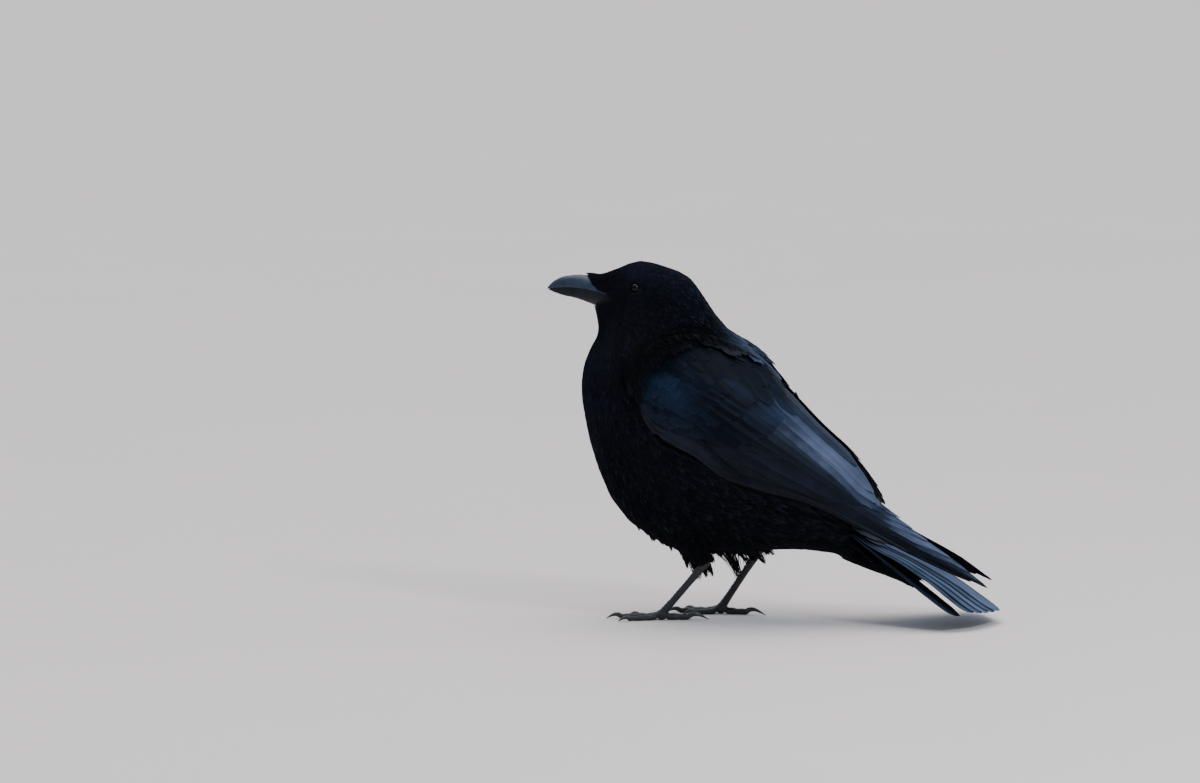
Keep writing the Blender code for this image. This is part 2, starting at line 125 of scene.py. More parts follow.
# Where, as (x, distance from the middle plane, z); which way the feathers lie there; their
# length, width and spacing; and how deep the coat is.
GUIDES = (
    ((-146, 0, 288), (1, 0, 0.45), 5, 1.6, 1.3, 1.2),  # forehead
    ((-131, 8, 291), (1, 0, 0.3), 6, 2.0, 1.5, 1.4),
    ((-113, 0, 300), (1, 0, -0.05), 7.5, 2.6, 1.8, 1.9),  # crown
    ((-93, 6, 296), (1, 0, -0.4), 9, 3.2, 2.2, 2.2),
    ((-72, 0, 287), (0.7, 0, -0.7), 12, 4.5, 2.8, 3.0),  # nape
    ((-136, 12, 277), (1, 0, -0.12), 4.2, 1.3, 1.15, 1.0),  # lores
    ((-122, 15, 288), (1, 0, 0.2), 4.8, 1.7, 1.3, 1.1),
    ((-114, 17, 269), (1, 0, -0.3), 4.8, 1.7, 1.3, 1.2),  # under the eye
    ((-98, 20, 279), (1, 0, -0.35), 7, 2.5, 1.7, 1.6),  # behind the eye
    ((-105, 20, 262), (0.85, 0, -0.6), 8, 2.8, 1.9, 1.8),  # cheek
    ((-128, 14, 262), (0.75, 0, -0.6), 6, 2.0, 1.5, 1.4),  # below the gape
    ((-147, 0, 256), (0.2, 0, -1), 7, 2.0, 1.6, 1.5),  # chin
    ((-146, 8, 246), (0.15, 0, -1), 11, 2.6, 2.1, 2.2),  # throat
    ((-148, 0, 234), (0, 0, -1), 14, 3.4, 2.6, 2.8),
    ((-112, 26, 243), (0.45, 0, -0.9), 13, 4.6, 2.9, 2.8),  # side of the neck
    ((-80, 27, 262), (0.65, 0.1, -0.75), 13, 5.0, 3.0, 3.0),
    ((-60, 10, 270), (0.65, 0, -0.75), 16, 7.0, 3.8, 3.4),  # hind neck
    ((-158, 0, 208), (0, 0, -1), 17, 6.0, 3.6, 3.6),  # upper breast
    ((-130, 38, 205), (0.3, 0, -0.95), 17, 6.5, 3.8, 3.6),
    ((-45, 20, 247), (0.7, 0.1, -0.65), 22, 12, 5.2, 3.8),  # mantle
    ((-12, 0, 219), (0.65, 0, -0.76), 25, 14, 6.0, 4.0),
    ((15, 0, 185), (0.63, 0, -0.78), 26, 14, 6.0, 4.0),
    ((-161, 0, 180), (0.06, 0, -1), 20, 9.0, 4.4, 4.2),  # breast
    ((-125, 46, 165), (0.4, 0, -0.9), 20, 9.0, 4.5, 4.2),
    ((-152, 0, 140), (0.3, 0, -0.95), 22, 10, 4.6, 4.4),
    ((-105, 50, 125), (0.6, 0, -0.8), 22, 10, 4.7, 4.4),
    ((-128, 0, 92), (0.65, 0, -0.75), 25, 10, 4.6, 4.8),  # belly
    ((-70, 48, 95), (0.85, 0, -0.5), 25, 11, 4.9, 4.8),
    ((-90, 0, 66), (0.95, 0, -0.3), 26, 10, 4.6, 4.8),
    ((-30, 30, 66), (1, 0, -0.15), 26, 11, 5.0, 4.6),  # flank
    ((-20, 48, 95), (0.95, 0, -0.35), 26, 12, 5.2, 4.4),
    ((-30, 0, 58), (1, 0, 0), 26, 10, 4.8, 4.4),  # vent
    ((30, 25, 75), (0.95, 0, -0.35), 30, 12, 5.4, 4.0),
    ((25, 0, 60), (1, 0, -0.15), 30, 12, 5.4, 4.0),
    ((60, 0, 55), (0.87, 0, -0.5), 34, 9, 4.6, 3.2),  # undertail
    ((60, 0, 125), (0.8, 0, -0.6), 32, 15, 6.2, 3.6),  # rump
    ((85, 0, 75), (0.86, 0, -0.5), 38, 16, 6.8, 3.2),
)
# Where the bare horn of the bill ends and the face's feathers start, as (z, x) upwards.
HORN_EDGE = (
    (257.5, -156), (262, -153), (266, -145.5), (269.6, -134), (273, -137), (279, -141), (289, -143)
)
# And how far forward the bristles over it reach.
BRISTLE_EDGE = ((269.3, -131.5), (274.3, -137), (278.4, -147.5), (284, -153.5), (288.6, -157.5))
# The lower edge of the glossier feathers of the back, as (x, z).
BACK_EDGE = ((-58, 250), (-43, 234), (-18, 208), (6, 180), (26, 152), (43, 130), (58, 110), (90, 72))
# How far back along the wing the body's feathers lie over its front, as (v, u) down the wing.
SHOULDER_EDGE = ((0, 4.2), (0.05, 2.6), (0.12, 1.6), (0.25, 0.9), (0.45, 0.3), (0.7, 0.12), (0.9, 0.45))
THIGH_LIE = (15, 5.0, 3.1, 2.6)  # length, width, spacing and depth on the feathered thigh


def mix(a, b, share):
    """a where the share is 0, b where it is 1 and even steps between."""
    return a + (b - a) * share


def smooth(low, high, value):
    """0 below low, 1 above high and an even S between them."""
    share = np.clip((np.asarray(value, float) - low) / (high - low), 0, 1)
    return share * share * (3 - 2 * share)


def unit(vectors):
    """The vectors at a length of one."""
    return vectors / np.maximum(np.linalg.norm(vectors, axis=-1, keepdims=True), 1e-9)


def dot(a, b):
    """The dot products of two arrays of vectors, kept as a last axis of one."""
    return (a * b).sum(-1, keepdims=True)


def at(table, value):
    """What a table of (place, value) pairs holds at any place, in straight lines between them."""
    return np.interp(value, *zip(*table))


def profile(outline, share):
    """A feather's width at each share of its length, from widths spread evenly along it."""
    return np.interp(share, np.linspace(0, 1, len(outline)), outline)


def flips(points):
    """Factors that carry each point over to the bird's right side, and back again."""
    return np.where(points[..., 1:2] < 0, -1.0, 1.0) * (0, 1, 0) + (1, 0, 1)


def lengths_of(path):
    """How long each path is from its first point to its last."""
    return np.linalg.norm(np.diff(path, axis=1), axis=-1).sum(1)


def along(rows, place):
    """The table's rows at fractional places, on a smooth curve, for any array of places."""
    rows = np.asarray(rows, float)
    place = np.asarray(place, float)
    index = np.clip(np.floor(place).astype(int), 0, len(rows) - 2)
    share = (place - index)[..., None]
    a, b, c, d = (rows[np.clip(index + step, 0, len(rows) - 1)] for step in (-1, 0, 1, 2))
    return 0.5 * (
        2 * b
        + (c - a) * share
        + (2 * a - 5 * b + 4 * c - d) * share**2
        + (3 * b - a - 3 * c + d) * share**3
    )


EYE_AXIS = unit(np.array((-0.2, 0.95, 0.2)))
EYE_FORWARD = unit(np.array((-1.0, 0, 0)) - EYE_AXIS * -EYE_AXIS[0])
EYE_UP = np.cross(EYE_AXIS, EYE_FORWARD)

# ---------------------------------------------------------------- closed shapes in numpy

# faces is a list of index arrays, one for each count of corners. bake and vane are one (u, v) for
# each point, and shade is one number for each.
Shape = namedtuple("Shape", "points faces bake vane shade")


def plate_faces(rows, columns):
    """A thin closed plate: a grid on top, one strip below it and an end at each end."""
    grid = np.arange((rows + 1) * (columns + 1)).reshape(rows + 1, columns + 1)
    top = np.stack([grid[:-1, :-1], grid[:-1, 1:], grid[1:, 1:], grid[1:, :-1]], -1)
    under = np.stack([grid[:-1, 0], grid[1:, 0], grid[1:, -1], grid[:-1, -1]], -1)
    quads = np.concatenate([top.reshape(-1, 4), under.reshape(-1, 4)])
    ends = np.stack([grid[0, ::-1], grid[-1]])
    return [quads, ends]


def blade_faces(rows):
    """A three-sided blade from a closed root to a point."""
    quads = []
    for row in range(rows - 1):
        for k in range(3):
            j = (k + 1) % 3
            quads.append((3 * row + k, 3 * row + j, 3 * row + 3 + j, 3 * row + 3 + k))
    last = 3 * (rows - 1)
    tris = [(last + k, last + (k + 1) % 3, last + 3) for k in range(3)] + [(2, 1, 0)]
    return [np.array(quads).reshape(-1, 4), np.array(tris)]


def tube_faces(rings, sides):
    """Rings of equally many points, closed by a face at each end."""
    grid = np.arange(rings * sides).reshape(rings, sides)
    beside = np.roll(grid, -1, axis=1)
    quads = np.stack([grid[:-1], beside[:-1], beside[1:], grid[1:]], -1).reshape(-1, 4)
    return [quads, np.stack([grid[0, ::-1], grid[-1]])]


def repeated(faces, count, stride):
    """The same faces for each of count copies that hold stride points."""
    starts = np.arange(count) * stride
    return [(f[None] + starts[:, None, None]).reshape(-1, f.shape[1]) for f in faces]


def shape(points, faces, bake=None, vane=None, shade=None):
    """A Shape from arrays of any grid, with plain values for what isn't given."""
    points = np.asarray(points, float).reshape(-1, 3)
    count = len(points)
    bake = np.zeros((count, 2)) if bake is None else np.reshape(bake, (count, 2))
    vane = np.zeros((count, 2)) if vane is None else np.reshape(vane, (count, 2))
    shade = np.full(count, 0.5) if shade is None else np.reshape(shade, count)
    return Shape(points, faces, bake, vane, shade)


def plates(grid, across, share, tone, roots=None, lane=0, lanes=1):
    """Thin closed plates, one for each grid of points, with their maps.

    A plate's place in OFBake is a small patch at its root, or where there are no roots a strip
    of its own, counted from lane out of all the lanes.
    """
    count, rows, columns = grid.shape[:3]
    wide, way = np.broadcast_arrays((across + 1) / 2, share[:, None], grid[..., 0])[:2]
    if roots is None:
        numbers = lane + np.arange(count)[:, None, None]
        bake = np.stack([(numbers + 0.05 + 0.9 * wide) / lanes, 0.02 + 0.96 * way], -1)
    else:
        bake = patches(roots, wide, way)
    faces = repeated(plate_faces(rows - 1, columns - 1), count, rows * columns)
    vane = np.stack([wide, way], -1)
    return shape(grid, faces, bake, vane, np.broadcast_to(tone, wide.shape))


def turned(made):
    """The same shape with its faces the other way round."""
    return made._replace(faces=[f[:, ::-1] for f in made.faces])


def on_side(made, side):
    """A shape made for the right side, mirrored where it is wanted on the left."""
    if SIDES[side] > 0:
        return made
    return turned(made)._replace(points=made.points * (1, -1, 1))


def joined(shapes):
    """Many shapes as one."""
    starts = np.cumsum([0] + [len(s.points) for s in shapes[:-1]])
    faces = [f + start for s, start in zip(shapes, starts) for f in s.faces]
    points, bake, vane, shade = (
        np.concatenate([getattr(s, key) for s in shapes])
        for key in ("points", "bake", "vane", "shade")
    )
    return Shape(points, faces, bake, vane, shade)


SHARP = math.radians(50)  # the angle from which an edge isn't shaded smooth


def make(name, shapes, look, slot, replaces=()):
    """One object riding on the bird's body from closed shapes."""
    made = joined(shapes)
    mesh, corners = mesh_of(made)
    mesh.name = name
    for key, values in (("OFBake", made.bake), ("vane", made.vane)):
        layer = mesh.uv_layers.new(name=key)
        layer.data.foreach_set("uv", values[corners].astype(np.float32).ravel())
    attribute = mesh.attributes.new("shade", "FLOAT", "POINT")
    attribute.data.foreach_set("value", made.shade.astype(np.float32))
    mesh.shade_smooth()
    mesh.set_sharp_from_angle(angle=SHARP)
    mesh.materials.append(look)
    piece = bpy.data.objects.new(name, mesh)
    bpy.context.scene.collection.objects.link(piece)
    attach(piece, "root")
    if replaces:
        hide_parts(*replaces)


# ---------------------------------------------------------------- surfaces to grow on


class Surface:
    """A closed mesh in millimetres that points can be laid on."""

    def __init__(self, points, polygons):
        self.points, self.polygons = points, polygons
        self.tree = BVHTree.FromPolygons(points.tolist(), polygons.tolist())
        a, b, c, d = (points[polygons[:, k]] for k in range(4))
        cross = np.cross(c - a, d - b)
        self.areas = np.linalg.norm(cross, axis=1) / 2
        self.centres = (a + b + c + d) / 4
        at_points = np.zeros_like(points)
        for k in range(4):
            np.add.at(at_points, polygons[:, k], cross)
        self.normals = unit(at_points)
        self.face_normals = unit(self.normals[polygons].sum(1))

    def nearest(self, places):
        """The nearest points on the surface and its smooth normals there."""
        flat = places.reshape(-1, 3)
        found = [self.tree.find_nearest(place) for place in flat.tolist()]
        points = np.array([hit[0] for hit in found]).reshape(places.shape)
        faces = np.array([hit[2] for hit in found])
        return points, self.face_normals[faces].reshape(places.shape)


def cad_points(name):
    """A CAD node's points in millimetres, in the frame of its source."""
    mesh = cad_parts[name].data
    flat = np.zeros(len(mesh.vertices) * 3)
    mesh.vertices.foreach_get("co", flat)
    return flat.reshape(-1, 3) / MM - SHIFT


def grown_copies(names, grow):
    """Copies of CAD nodes as one mesh in metres, each grown a little so that they overlap."""
    bm = bmesh.new()
    for name in names:
        part = bmesh.new()
        part.from_mesh(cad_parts[name].data)
        bmesh.ops.remove_doubles(part, verts=part.verts, dist=0.01 * MM)
        part.normal_update()
        moves = [vert.normal * grow * MM for vert in part.verts]
        for vert, move in zip(part.verts, moves):
            vert.co += move
        mesh = bpy.data.meshes.new("copy")
        part.to_mesh(mesh)
        part.free()
        bm.from_mesh(mesh)
        bpy.data.meshes.remove(mesh)
    mesh = bpy.data.meshes.new("copies")
    bm.to_mesh(mesh)
    bm.free()
    return mesh


def mesh_of(made):
    """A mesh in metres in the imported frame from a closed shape."""
    mesh = bpy.data.meshes.new("mesh")
    corners = np.concatenate([f.ravel() for f in made.faces]).astype(np.int32)
    sizes = np.concatenate([np.full(len(f), f.shape[1]) for f in made.faces])
    mesh.vertices.add(len(made.points))
    mesh.vertices.foreach_set("co", ((made.points + SHIFT) * MM).astype(np.float32).ravel())
    mesh.loops.add(len(corners))
    mesh.loops.foreach_set("vertex_index", corners)
    mesh.polygons.add(len(sizes))
    mesh.polygons.foreach_set("loop_start", np.concatenate([[0], np.cumsum(sizes)[:-1]]))
    mesh.update(calc_edges=True)
    return mesh, corners


def fused(mesh, voxel, rounds):
    """Points in millimetres and quads of one closed skin round everything in a mesh."""
    copy = bpy.data.objects.new("fused", mesh)
    bpy.context.scene.collection.objects.link(copy)
    remesh = copy.modifiers.new("remesh", "REMESH")
    remesh.mode, remesh.voxel_size = "VOXEL", voxel * MM
    smoothing = copy.modifiers.new("smooth", "SMOOTH")
    smoothing.factor, smoothing.iterations = 0.5, rounds
    done = copy.evaluated_get(bpy.context.evaluated_depsgraph_get()).data
    flat = np.zeros(len(done.vertices) * 3)
    done.vertices.foreach_get("co", flat)
    corners = np.zeros(len(done.loops), np.int32)
    done.loops.foreach_get("vertex_index", corners)
    bpy.data.objects.remove(copy)
    bpy.data.meshes.remove(mesh)
    return outer_shell(flat.reshape(-1, 3) / MM - SHIFT, corners.reshape(-1, 4))


def outer_shell(points, polygons):
    """The largest connected part of a mesh, without the walls of any voids inside it."""
    label = np.arange(len(points))
    while True:
        spread = label.copy()
        lowest = label[polygons].min(1)
        for k in range(4):
            np.minimum.at(spread, polygons[:, k], lowest)
        spread = spread[spread]
        if (spread == label).all():
            break
        label = spread
    largest = np.bincount(label[polygons[:, 0]]).argmax()
    used = label == largest
    number = np.cumsum(used) - 1
    return points[used], number[polygons[used[polygons[:, 0]]]]


GROUPS = {
    "body": ("head", "neck", "trunk", "rump", "undertail_coverts"),
    "thigh_left": ("thigh_left",),
    "thigh_right": ("thigh_right",),
    "bill": ("bill_upper", "bill_lower", "nasal_bristles"),
    "eye": ("eye_left", "eye_right"),
    "wing": [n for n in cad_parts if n.startswith(("wing_", "scapulars_"))],
    "tail": [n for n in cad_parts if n.startswith("tail_feather_")],
}
GROUP_NAMES = list(GROUPS)
GROWN = ("body", "thigh_left", "thigh_right")  # the groups that contour feathers grow on


def cad_owner():
    """A function that names the group of CAD nodes nearest to each point."""
    points, polygons, owners = [], [], []
    for number, names in enumerate(GROUPS.values()):
        for name in names:
            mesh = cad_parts[name].data
            start = len(points)
            points += cad_points(name).tolist()
            for polygon in mesh.polygons:
                polygons.append([start + v for v in polygon.vertices])
                owners.append(number)
    tree = BVHTree.FromPolygons(points, polygons)
    owners = np.array(owners)

    def owner(places):
        return owners[[tree.find_nearest(place)[2] for place in places.tolist()]]

    return owner


# ---------------------------------------------------------------- the lie, as fields over the body

GUIDE_CORE = 30  # the square of the distance within which a guide's weight levels off
GUIDE_FALL = 1.8  # how fast it falls beyond, as a power of the square of the distance
GUIDE_PLACES = np.array([g[0] for g in GUIDES], float)
GUIDE_VALUES = np.array([[*unit(np.array(g[1], float)), *g[2:]] for g in GUIDES])


def lie(points):
    """The coat's heading at each point, and its length, width, spacing and depth there."""
    groups = owner(points)
    away = (((points * flips(points))[:, None] - GUIDE_PLACES[None]) ** 2).sum(-1)
    weights = 1 / (away + GUIDE_CORE) ** GUIDE_FALL
    weights /= weights.sum(1, keepdims=True)
    values = weights @ GUIDE_VALUES
    headings = unit(values[:, :3] * flips(points))
    sizes = values[:, 3:].copy()
    for side in SIDES:
        on_thigh = groups == GROUP_NAMES.index("thigh_" + side)
        hip, ankle = (np.array(LEGS[side][k], float) for k in (0, 1))
        headings[on_thigh] = unit(ankle - hip)
        sizes[on_thigh] = THIGH_LIE
    return headings, sizes


# The bird's spine from bill root to tail root, for unwrapping places on its body.
SPINE = np.array(
    ((-150, 275), (-118, 275), (-106, 245), (-90, 200), (-55, 140), (30, 90), (90, 66)), float
)


def unwrap(points):
    """Places on the body as (turn round the spine, way along it), both from 0 to 1."""
    flat = points[:, (0, 2)]
    starts, ends = SPINE[:-1], SPINE[1:]
    steps = ends - starts
    share = ((flat[:, None] - starts) * steps).sum(-1) / (steps**2).sum(-1)
    share = np.clip(share, 0, 1)
    feet = starts + steps * share[..., None]
    away = np.linalg.norm(flat[:, None] - feet, axis=-1)
    which = away.argmin(1)
    picked = np.arange(len(points))
    way = (which + share[picked, which]) / len(steps)
    direction = unit(steps[which])
    above = np.stack([-direction[:, 1], direction[:, 0]], 1)
    height = ((flat - feet[picked, which]) * above).sum(1)
    turn = np.arctan2(points[:, 1], height) / math.tau + 0.5
    return 0.02 + 0.96 * np.stack([turn, way], 1)


def patches(roots, across, lengthwise):
    """The OFBake place of each point: a small patch at its root's place on the unwrap."""
    size = 0.003
    spread = np.stack(np.broadcast_arrays(across, lengthwise), -1) - 0.5
    start = unwrap(roots)
    start = start.reshape(len(start), *([1] * (spread.ndim - 2)), 2)
    return start + spread * size


# ---------------------------------------------------------------- feathers laid on a surface


def scatter(surface, spacing, allowed, tries):
    """Evenly scattered roots on a surface, closer where its faces' spacing is small."""
    weight = surface.areas / spacing**2 * allowed
    picks = RNG.choice(len(weight), tries, p=weight / weight.sum())
    a, b, c, d = (surface.points[surface.polygons[picks, k]] for k in range(4))
    u, v = RNG.random((2, tries, 1))
    places = mix(mix(a, b, u), mix(d, c, u), v)
    return places[spread_out(places, spacing[picks])]


def spread_out(places, spacing):
    """Which places remain when each kept one clears a ball of its spacing around it."""
    tree = kdtree.KDTree(len(places))
    rows = places.tolist()
    for k, place in enumerate(rows):
        tree.insert(place, k)
    tree.balance()
    gone = np.zeros(len(places), bool)
    kept = []
    for k, place in enumerate(rows):
        if gone[k]:
            continue
        kept.append(k)
        for _, other, _ in tree.find_range(place, spacing[k]):
            gone[other] = True
    return np.array(kept)


def march(surface, roots, headings, lengths, rows, steer=None):
    """Paths over a surface from each root, following a heading that steer may turn."""
    points, normals = surface.nearest(roots)
    path, ups = [points], [normals]
    step = (lengths / rows)[:, None]
    heading = headings
    for _ in range(rows):
        if steer is not None:
            heading = unit(mix(heading, steer(points), 0.35))
        tangent = unit(heading - normals * dot(heading, normals))
        points, normals = surface.nearest(points + tangent * step)
        path.append(points)
        ups.append(normals)
        heading = tangent
    return np.stack(path, 1), np.stack(ups, 1)


def frames(path, ups):
    """Forward, sideways and up along each path."""
    forward = unit(np.gradient(path, axis=1))
    ups = unit(ups - forward * dot(forward, ups))
    return forward, np.cross(forward, ups), ups


# The outlines of a vane as widths along it, from root to tip.
ROUND_TIP = (0.3, 0.66, 0.9, 1.0, 1.0, 0.9, 0.42)
SOFT_TIP = (0.3, 0.7, 0.95, 1.0, 0.92, 0.7, 0.25)
POINTED_TIP = (0.35, 0.8, 1.0, 0.95, 0.75, 0.45, 0.12)

LEAN = 0.07  # how unevenly the coat's vanes are turned about their paths, in radians
FRAY = 0.09  # how ragged their edges are, as a share of their size
CAMBER = 0.04  # how far they bulge, as a share of their width
TUCK = 4.4  # how far the coat sinks where it slips under the wing


def vanes(path, ups, widths, heights, outline, columns):
    """Closed lens-shaped vanes on paths. heights lift each row of each vane off its path."""
    count, rows = path.shape[0], path.shape[1] - 1
    forward, sideways, ups = frames(path, ups)
    lean = RNG.normal(0, LEAN, (count, 1, 1))
    sideways, ups = sideways * np.cos(lean) + ups * np.sin(lean), ups - sideways * lean
    share = np.linspace(0, 1, rows + 1)
    across = np.linspace(-1, 1, columns + 1)
    half = profile(outline, share) * widths[:, None] / 2
    ragged = RNG.normal(0, 1, (count, rows + 1, columns + 1))
    pull = -(across**2) * 0.1 * smooth(0.55, 1, share)[None, :, None]
    pull = pull + ragged * FRAY * smooth(0.5, 1, share)[None, :, None] * 0.5
    pull = pull * lengths_of(path)[:, None, None]
    flare = 1 + 0.25 * FRAY * ragged
    bulge = CAMBER * widths[:, None, None] * (1 - across**2) + 0.05
    grid = path[:, :, None] + sideways[:, :, None] * (half[..., None] * across * flare)[..., None]
    grid = grid + forward[:, :, None] * pull[..., None]
    grid = grid + ups[:, :, None] * (heights[..., None] + bulge)[..., None]
    # Painted sheen and shade by place, plus each feather's own random tone.
    tone = coat_sheen_and_shade(path[:, 0]) + RNG.uniform(0.3, 0.7, count)
    return plates(grid, across, share, tone[:, None, None], path[:, 0])


def blades(path, ups, widths, heights):
    """Fine closed blades, three-sided and pointed, on paths."""
    count, rows = path.shape[0], path.shape[1] - 1
    _, sideways, ups = frames(path, ups)
    share = np.linspace(0, 1, rows + 1)
    half = widths[:, None] / 2 * (1 - share**2 * 0.75)
    base = path + ups * heights[..., None]
    corners = [
        base + (sideways * math.cos(turn) + ups * math.sin(turn)) * half[..., None]
        for turn in (math.radians(-30), math.radians(90), math.radians(210))
    ]
    grid = np.stack(corners, 2)[:, :-1].reshape(count, rows * 3, 3)
    grid = np.concatenate([grid, base[:, -1:]], 1)
    way = np.append(np.repeat(share[:-1], 3), 1.0)
    way = np.broadcast_to(way, (count, len(way)))
    middle = np.full(way.shape, 0.5)
    # Painted sheen and shade by place, plus each barb's own random tone.
    tone = coat_sheen_and_shade(path[:, 0]) + RNG.uniform(0.3, 0.7, count)
    tone = np.broadcast_to(tone[:, None], way.shape)
    faces = repeated(blade_faces(rows), count, rows * 3 + 1)
    return shape(grid, faces, patches(path[:, 0], middle, way), np.stack([middle, way], -1), tone)


# ---------------------------------------------------------------- skin and coat

# How many places are tried for the coat's feathers and barbs, before crowded ones are dropped.
COAT_TRIES = 90000
BARB_TRIES = 420000
GROWTH = 0.4  # how far copies of CAD nodes are grown so that they fuse
FLESH = ("head", "neck", "trunk", "rump", "thigh_left", "thigh_right", "undertail_coverts")


def skin(look):
    """One skin under the coat, let in by the coat's depth, with the eyelids on it."""
    points, polygons = fused(grown_copies((*FLESH, "eye_left", "eye_right"), GROWTH), 1.6, 4)
    _, sizes = lie(points)
    sunk = behind_eyes(points - Surface(points, polygons).normals * sizes[:, 3:4])
    made = shape(sunk, [polygons], unwrap(sunk), shade=RNG.random(len(points)))
    make("skin", [made] + [on_side(eyelids(), side) for side in SIDES], look, "plumage", FLESH)
    return Surface(sunk, polygons)


def behind_eyes(points):
    """The skin's points with those in front of an eyeball drawn in behind its surface."""
    away = points * flips(points) - EYE
    reach = np.linalg.norm(away, axis=1, keepdims=True)
    near = (off_eye(points) < 5.6)[:, None] & (reach < 9) & (dot(away, EYE_AXIS) > -1)
    share = np.minimum(1, (EYE_RADIUS - 0.8) / np.maximum(reach, 1e-6))
    return np.where(near, (EYE + away * share) * flips(points), points)


def wing_cover(points, reach=9):
    """1 where the coat slips under the wing's own feathers, and 0 where it lies over them."""
    u, v, away = wing_finder.nearest(points.reshape(-1, 3))
    over = (away < reach) & (u > -0.1) & (u < 10.5)
    lapped = np.interp(u, (0, 0.6, 4.4, 5.4), (1.05, 0.93, 0.93, 1.05))
    front = at(SHOULDER_EDGE, v)
    inside = smooth(0.0, 0.05, v) * (1 - smooth(lapped - 0.04, lapped + 0.02, v))
    cover = np.where(over, inside * smooth(front - 0.12, front + 0.12, u), 0.0)
    return cover.reshape(points.shape[:-1])


def above_back_edge(points):
    """How far above the edge of the back's glossier feathers points are, in millimetres."""
    return points[:, 2] - at(BACK_EDGE, points[:, 0])


def coat_sheen_and_shade(roots):
    """How pale the coat is painted by place: painted sheen on crown, nape, breast and back, and painted
    shade low on the belly.
    """
    x, _, z = roots.T
    # Painted sheen on the crown, the nape and the breast.
    crown = 0.42 * smooth(276, 292, z) * smooth(-140, -118, x)
    nape = 0.3 * np.exp(-(((x + 72) / 12) ** 2) - ((z - 272) / 14) ** 2)
    breast = 0.2 * smooth(120, 165, z) * (1 - smooth(215, 240, z)) * (1 - smooth(-150, -110, x))
    # Painted shade low on the belly, the underside turned from the light; darker too where the neck's
    # feathers lie over the wing's bend.
    belly = -0.3 * (1 - smooth(75, 125, z)) - 0.5 * over_wing(roots)
    # Painted sheen on the back, paler over its middle than near its lower edge and the nape.
    back_sheen = smooth(0, 16, above_back_edge(roots)) * smooth(BACK_EDGE[0][0] - 2, -26, x)
    back = mix(-0.45, 0.42, back_sheen)
    return crown + nape + breast + np.where(on_back(roots), back, belly)


def on_back(points):
    """True where the feathers are the back's glossier ones."""
    return (above_back_edge(points) > 0) & (points[:, 0] > BACK_EDGE[0][0])


def bridged(path, ups):
    """Paths raised where creases between the bird's masses are filled with feathers."""
    near, normals = filled.nearest(path)
    depth = dot(near - path, normals) + 0.8
    x, y, z = (path[..., k : k + 1] for k in range(3))
    on_face = smooth(245, 262, z) * (1 - smooth(-105, -80, x))
    aside = smooth(8, 22, np.abs(y)) * (1 - on_face) * (1 - smooth(35, 60, x))
    open_air = 1 - wing_cover(path, 40)[..., None]
    depth = np.clip(depth, 0, 16) * aside * open_air
    ups = unit(mix(ups, normals, smooth(0, 1.5, depth)))
    return path + normals * depth, ups


def unfolded(path):
    """True for the paths that run on without doubling back at a crease."""
    return np.linalg.norm(path[:, -1] - path[:, 0], axis=-1) > 0.72 * lengths_of(path)


def shoulder(u, v, fade=0.5):
    """1 on the front of the wing that the neck's feathers cover, fading to 0 behind it."""
    front = at(SHOULDER_EDGE, v)
    return (1 - smooth(front + 0.1, front + 0.1 + fade, u)) * (1 - smooth(0.85, 0.97, v))


def over_wing(points, fade=0.5):
    """1 on the bend of the wing, where the neck's feathers lie over it, and 0 elsewhere."""
    u, v, away = wing_finder.nearest(points)
    return shoulder(u, v, fade) * (1 - smooth(2, 11, away))


def coat(look, back_look):
    """The contour feathers of the whole body, laid from the skin up to the bird's outline."""
    spacing = 0.78 * lie(outer.centres)[1][:, 2]
    roots = scatter(outer, spacing, coated(outer.centres), COAT_TRIES)
    headings, sizes = lie(roots)
    count = len(roots)
    headings = unit(headings + RNG.normal(0, 0.07, (count, 3)))
    lengths = sizes[:, 0] * RNG.uniform(0.85, 1.15, count)
    widths = 0.85 * sizes[:, 1] * RNG.uniform(0.9, 1.1, count)
    small = lengths < 9.5
    back = ~small & on_back(roots)
    neck = ~small & ~back & (roots[:, 2] > 205)
    breast = ~small & ~back & ~neck & (roots[:, 0] < -95)
    for name, chosen, rows, columns, plumage in (
        ("coat_face", small & (roots[:, 0] < -112), 4, 2, look),
        ("coat_crown", small & (roots[:, 0] >= -112), 4, 2, look),
        ("coat_neck", neck, 6, 4, look),
        ("coat_breast", breast, 6, 4, look),
        ("coat_back", back, 7, 6, back_look),
        ("coat_belly", ~small & ~back & ~neck & ~breast, 6, 4, look),
    ):
        picked = (a[chosen] for a in (roots, headings, lengths, widths, sizes[:, 3]))
        make(name, contour_feathers(*picked, rows, columns), plumage, "plumage")


def contour_feathers(roots, headings, lengths, widths, depths, rows, columns):
    """Vanes that start deep in the coat and end at its surface, or lie over the wing's bend."""
    lengths = room_before_eye(roots, headings, lengths)
    path, ups = march(outer, roots, headings, lengths, rows, lambda points: lie(points)[0])
    share = np.linspace(0, 1, rows + 1)
    rise = share**0.8 * RNG.uniform(0.85, 1.1, (len(path), 1)) - 1
    under = wing_cover(path)
    over = over_wing(roots)[:, None]
    heights = depths[:, None] * rise * (1 - 0.5 * over)
    heights = heights - TUCK * under * (1 - over) + over * (1.3 + 0.9 * share)
    path, ups = bridged(path, ups)
    pointed = (roots[:, 0] < -125) & (roots[:, 2] > 212)
    whole = unfolded(path)
    made = []
    for group, outline in ((pointed & whole, POINTED_TIP), (~pointed & whole, SOFT_TIP)):
        if group.any():
            picked = (a[group] for a in (path, ups, widths, heights))
            made.append(vanes(*picked, outline, columns))
    return made


def coated(points):
    """1 where the body's own feathers are rooted and 0 over the face's bare parts and the wing."""
    grown = grown_on(points) | (over_wing(points) > 0.4)
    return grown * (wing_cover(points) < 0.5) * clear_of_face(points)


def grown_on(points):
    """True where the nearest part of the bird is one that contour feathers grow on."""
    return np.isin(owner(points), [GROUP_NAMES.index(name) for name in GROWN])


